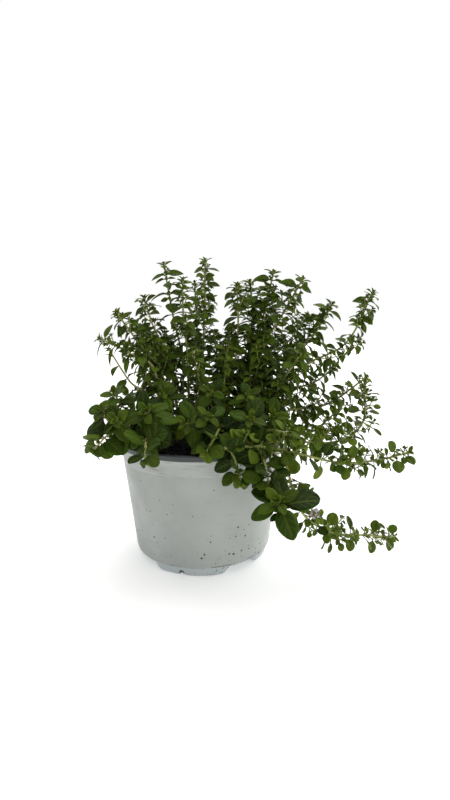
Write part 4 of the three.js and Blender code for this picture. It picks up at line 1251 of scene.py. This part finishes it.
def make_pot():
    """The pot, turned from its profile, with its foot lifted in the notches."""
    profile = pot_profile()
    lift = foot_lift(np.degrees(np.arange(ROUND) * 2 * np.pi / ROUND))
    ring_in = FOOT_RADIUS - FOOT_WIDTH
    points = []
    for i, (radius, z) in enumerate(profile):
        foot = radius >= ring_in - 0.01 and z < FLOOR_UNDER + 0.3 and i < len(profile) // 2
        share = 1 - z / (FOOT_HEIGHT + 0.5) if foot else 0
        points.append(ring(radius, z + lift * share, ROUND))
    gathered = Pieces()
    gathered.add_plain(np.concatenate(points), tube_faces(len(profile), ROUND))
    pot = make_piece("pot_shell", gathered, [moulded_polypropylene()], ["pot"])
    drill_drains(pot)


def drill_drains(pot):
    """Cuts a drain hole through the floor at each notch."""
    for i in range(NOTCH_COUNT):
        angle = math.radians(FIRST_NOTCH_AT + 360 * i / NOTCH_COUNT)
        at = np.array((DRAIN_AT_RADIUS * math.cos(angle), DRAIN_AT_RADIUS * math.sin(angle), 0))
        rings = [at + ring(DRAIN_RADIUS, z, DRAIN_SIDES) for z in (FLOOR_UNDER - 2, FLOOR_TOP + 2)]
        mesh = bpy.data.meshes.new("drain")
        mesh.from_pydata((np.concatenate(rings) * MM).tolist(), [], tube_faces(2, DRAIN_SIDES))
        drill = bpy.data.objects.new("drain", mesh)
        bpy.context.scene.collection.objects.link(drill)
        cut = pot.modifiers.new("drain", "BOOLEAN")
        cut.operation = "DIFFERENCE"
        cut.object = drill
        bpy.context.view_layer.update()
        depsgraph = bpy.context.evaluated_depsgraph_get()
        pot.data = bpy.data.meshes.new_from_object(pot.evaluated_get(depsgraph))
        pot.modifiers.clear()
        bpy.data.objects.remove(drill)


# ---- soil ----

def soil_height(x, y):
    """The soil's top: the broad lumps of a pot filled by hand, with finer ones on them, as waves
    that cross each other about 20 and 5 mm apart."""
    broad = np.sin(x * 0.31 + 1) * np.sin(y * 0.27) + 0.6 * np.sin(x * 0.13 - y * 0.19)
    fine = np.sin(x * 1.1 + 2 * np.sin(y * 0.7)) * np.sin(y * 1.3 + 2 * np.sin(x * 0.6))
    return SOIL_TOP + SOIL_LUMP * broad + SOIL_GRAIN * fine


def make_soil():
    """The plug of soil: its sides follow the pot's inside, and its top is lumpy up to the rim."""
    gathered = Pieces()
    rim = inner_radius(SOIL_TOP) - GAP
    sides = [(MIDDLE, FLOOR_TOP + GAP), (FOOT_RADIUS - 1 - GAP, FLOOR_TOP + GAP),
             (inner_radius(FLOOR_TOP + 2) - GAP, FLOOR_TOP + 2 + GAP),
             (inner_radius(SOIL_BEND) - GAP, SOIL_BEND), (rim, SOIL_TOP - 0.6)]
    rings = [ring(radius, z, SOIL_ROUND) for radius, z in sides]
    for i in range(SOIL_RINGS):
        radius = max((rim - 0.3) * (1 - i / (SOIL_RINGS - 1)), MIDDLE)
        x, y, _ = ring(radius, 0, SOIL_ROUND).T
        edge = smooth(radius, rim - 5, rim)
        z = soil_height(x, y) * (1 - edge) + (SOIL_TOP - 0.3) * edge
        rings.append(np.column_stack([x, y, z]))
    gathered.add_plain(np.concatenate(rings), tube_faces(len(rings), SOIL_ROUND))
    for i in range(CRUMBS):
        add_crumb(gathered, i, rim)
    make_piece("peat_soil", gathered, [damp_peat()], ["soil"])


def add_crumb(gathered, i, rim):
    """A crumb of peat on the soil: a lopsided lump of three rings, pressed in by a third."""
    angle = 2 * math.pi * draw(i, 31, 1)
    radius = (rim - 3) * math.sqrt(draw(i, 31, 2))
    size = CRUMB_LEAST + CRUMB_SPREAD * draw(i, 31, 3) ** 2
    x, y = radius * math.cos(angle), radius * math.sin(angle)
    middle = np.array((x, y, float(soil_height(x, y)) + size * 0.3))
    points = []
    for layer, (z, wide) in enumerate(CRUMB_LAYERS):
        for j in range(CRUMB_SIDES):
            turn = 2 * math.pi * (j + draw(i, layer, 4)) / CRUMB_SIDES
            reach = size * wide * (0.75 + 0.5 * draw(i, layer * CRUMB_SIDES + j, 5))
            points.append(middle + (reach * math.cos(turn), reach * math.sin(turn), size * z))
    gathered.add_plain(np.array(points), tube_faces(len(CRUMB_LAYERS), CRUMB_SIDES))


# ---- stage and light ----

FLOOR_SIZE = 3.0
FLOOR_SIDES = 64
FLOOR_BELOW = 0.0002
TABLE_GLOW = 0.35
# The room is brightest this way, and darkest and brightest at these shares of facing it.
BRIGHT_WAY = (0.66, 0.5, 0.56)
DARK_TO = -0.6
BRIGHT_FROM = 0.35
LAMP_FROM = (0.6, 0.5, 1.2)
LAMP_STRENGTH = 1.7
LAMP_SPREAD = 70


def make_table():
    """A plain white table that glows a little, so that it stays white under the plant."""
    mesh = bpy.data.meshes.new("floor")
    rim = ring(FLOOR_SIZE, -FLOOR_BELOW, FLOOR_SIDES)
    mesh.from_pydata(rim.tolist(), [], [list(range(FLOOR_SIDES))])
    paper, shader = new_material("white_paper")
    fill(paper, shader, {"Base Color": linear(PAPER), "Roughness": 0.9,
                         "Emission Color": linear(WHITE), "Emission Strength": TABLE_GLOW})
    mesh.materials.append(paper)
    floor = bpy.data.objects.new("floor", mesh)
    bpy.context.scene.collection.objects.link(floor)


def make_room():
    """A room that is bright behind and above, and one broad lamp like a window."""
    scene = bpy.context.scene
    scene.view_settings.view_transform = "Standard"
    world = bpy.data.worlds.new("room")
    world.use_nodes = True
    scene.world = world
    way = add(world, "TexCoord", {}).outputs["Generated"]
    toward = add(world, "VectorMath", {0: way, 1: BRIGHT_WAY}, operation="DOT_PRODUCT")
    bright = add(world, "MapRange", {"Value": toward, "From Min": DARK_TO,
                                     "From Max": BRIGHT_FROM}, **SMOOTH)
    # the light comes from one side, but the backdrop itself is seen as plain white
    seen = add(world, "LightPath", {}).outputs["Is Camera Ray"]
    colour = painted(world, ROOM_DARK, [(bright, WHITE), (seen, WHITE)])
    fill(world, world.node_tree.nodes["Background"], {"Color": colour, "Strength": 1.0})

    lamp = bpy.data.lights.new("window", "SUN")
    lamp.energy = LAMP_STRENGTH
    lamp.angle = math.radians(LAMP_SPREAD)
    window = bpy.data.objects.new("window", lamp)
    window.rotation_euler = Vector(LAMP_FROM).to_track_quat("Z", "Y").to_euler()
    scene.collection.objects.link(window)


make_camera()
make_table()
make_room()
make_pot()
make_soil()
make_thyme()
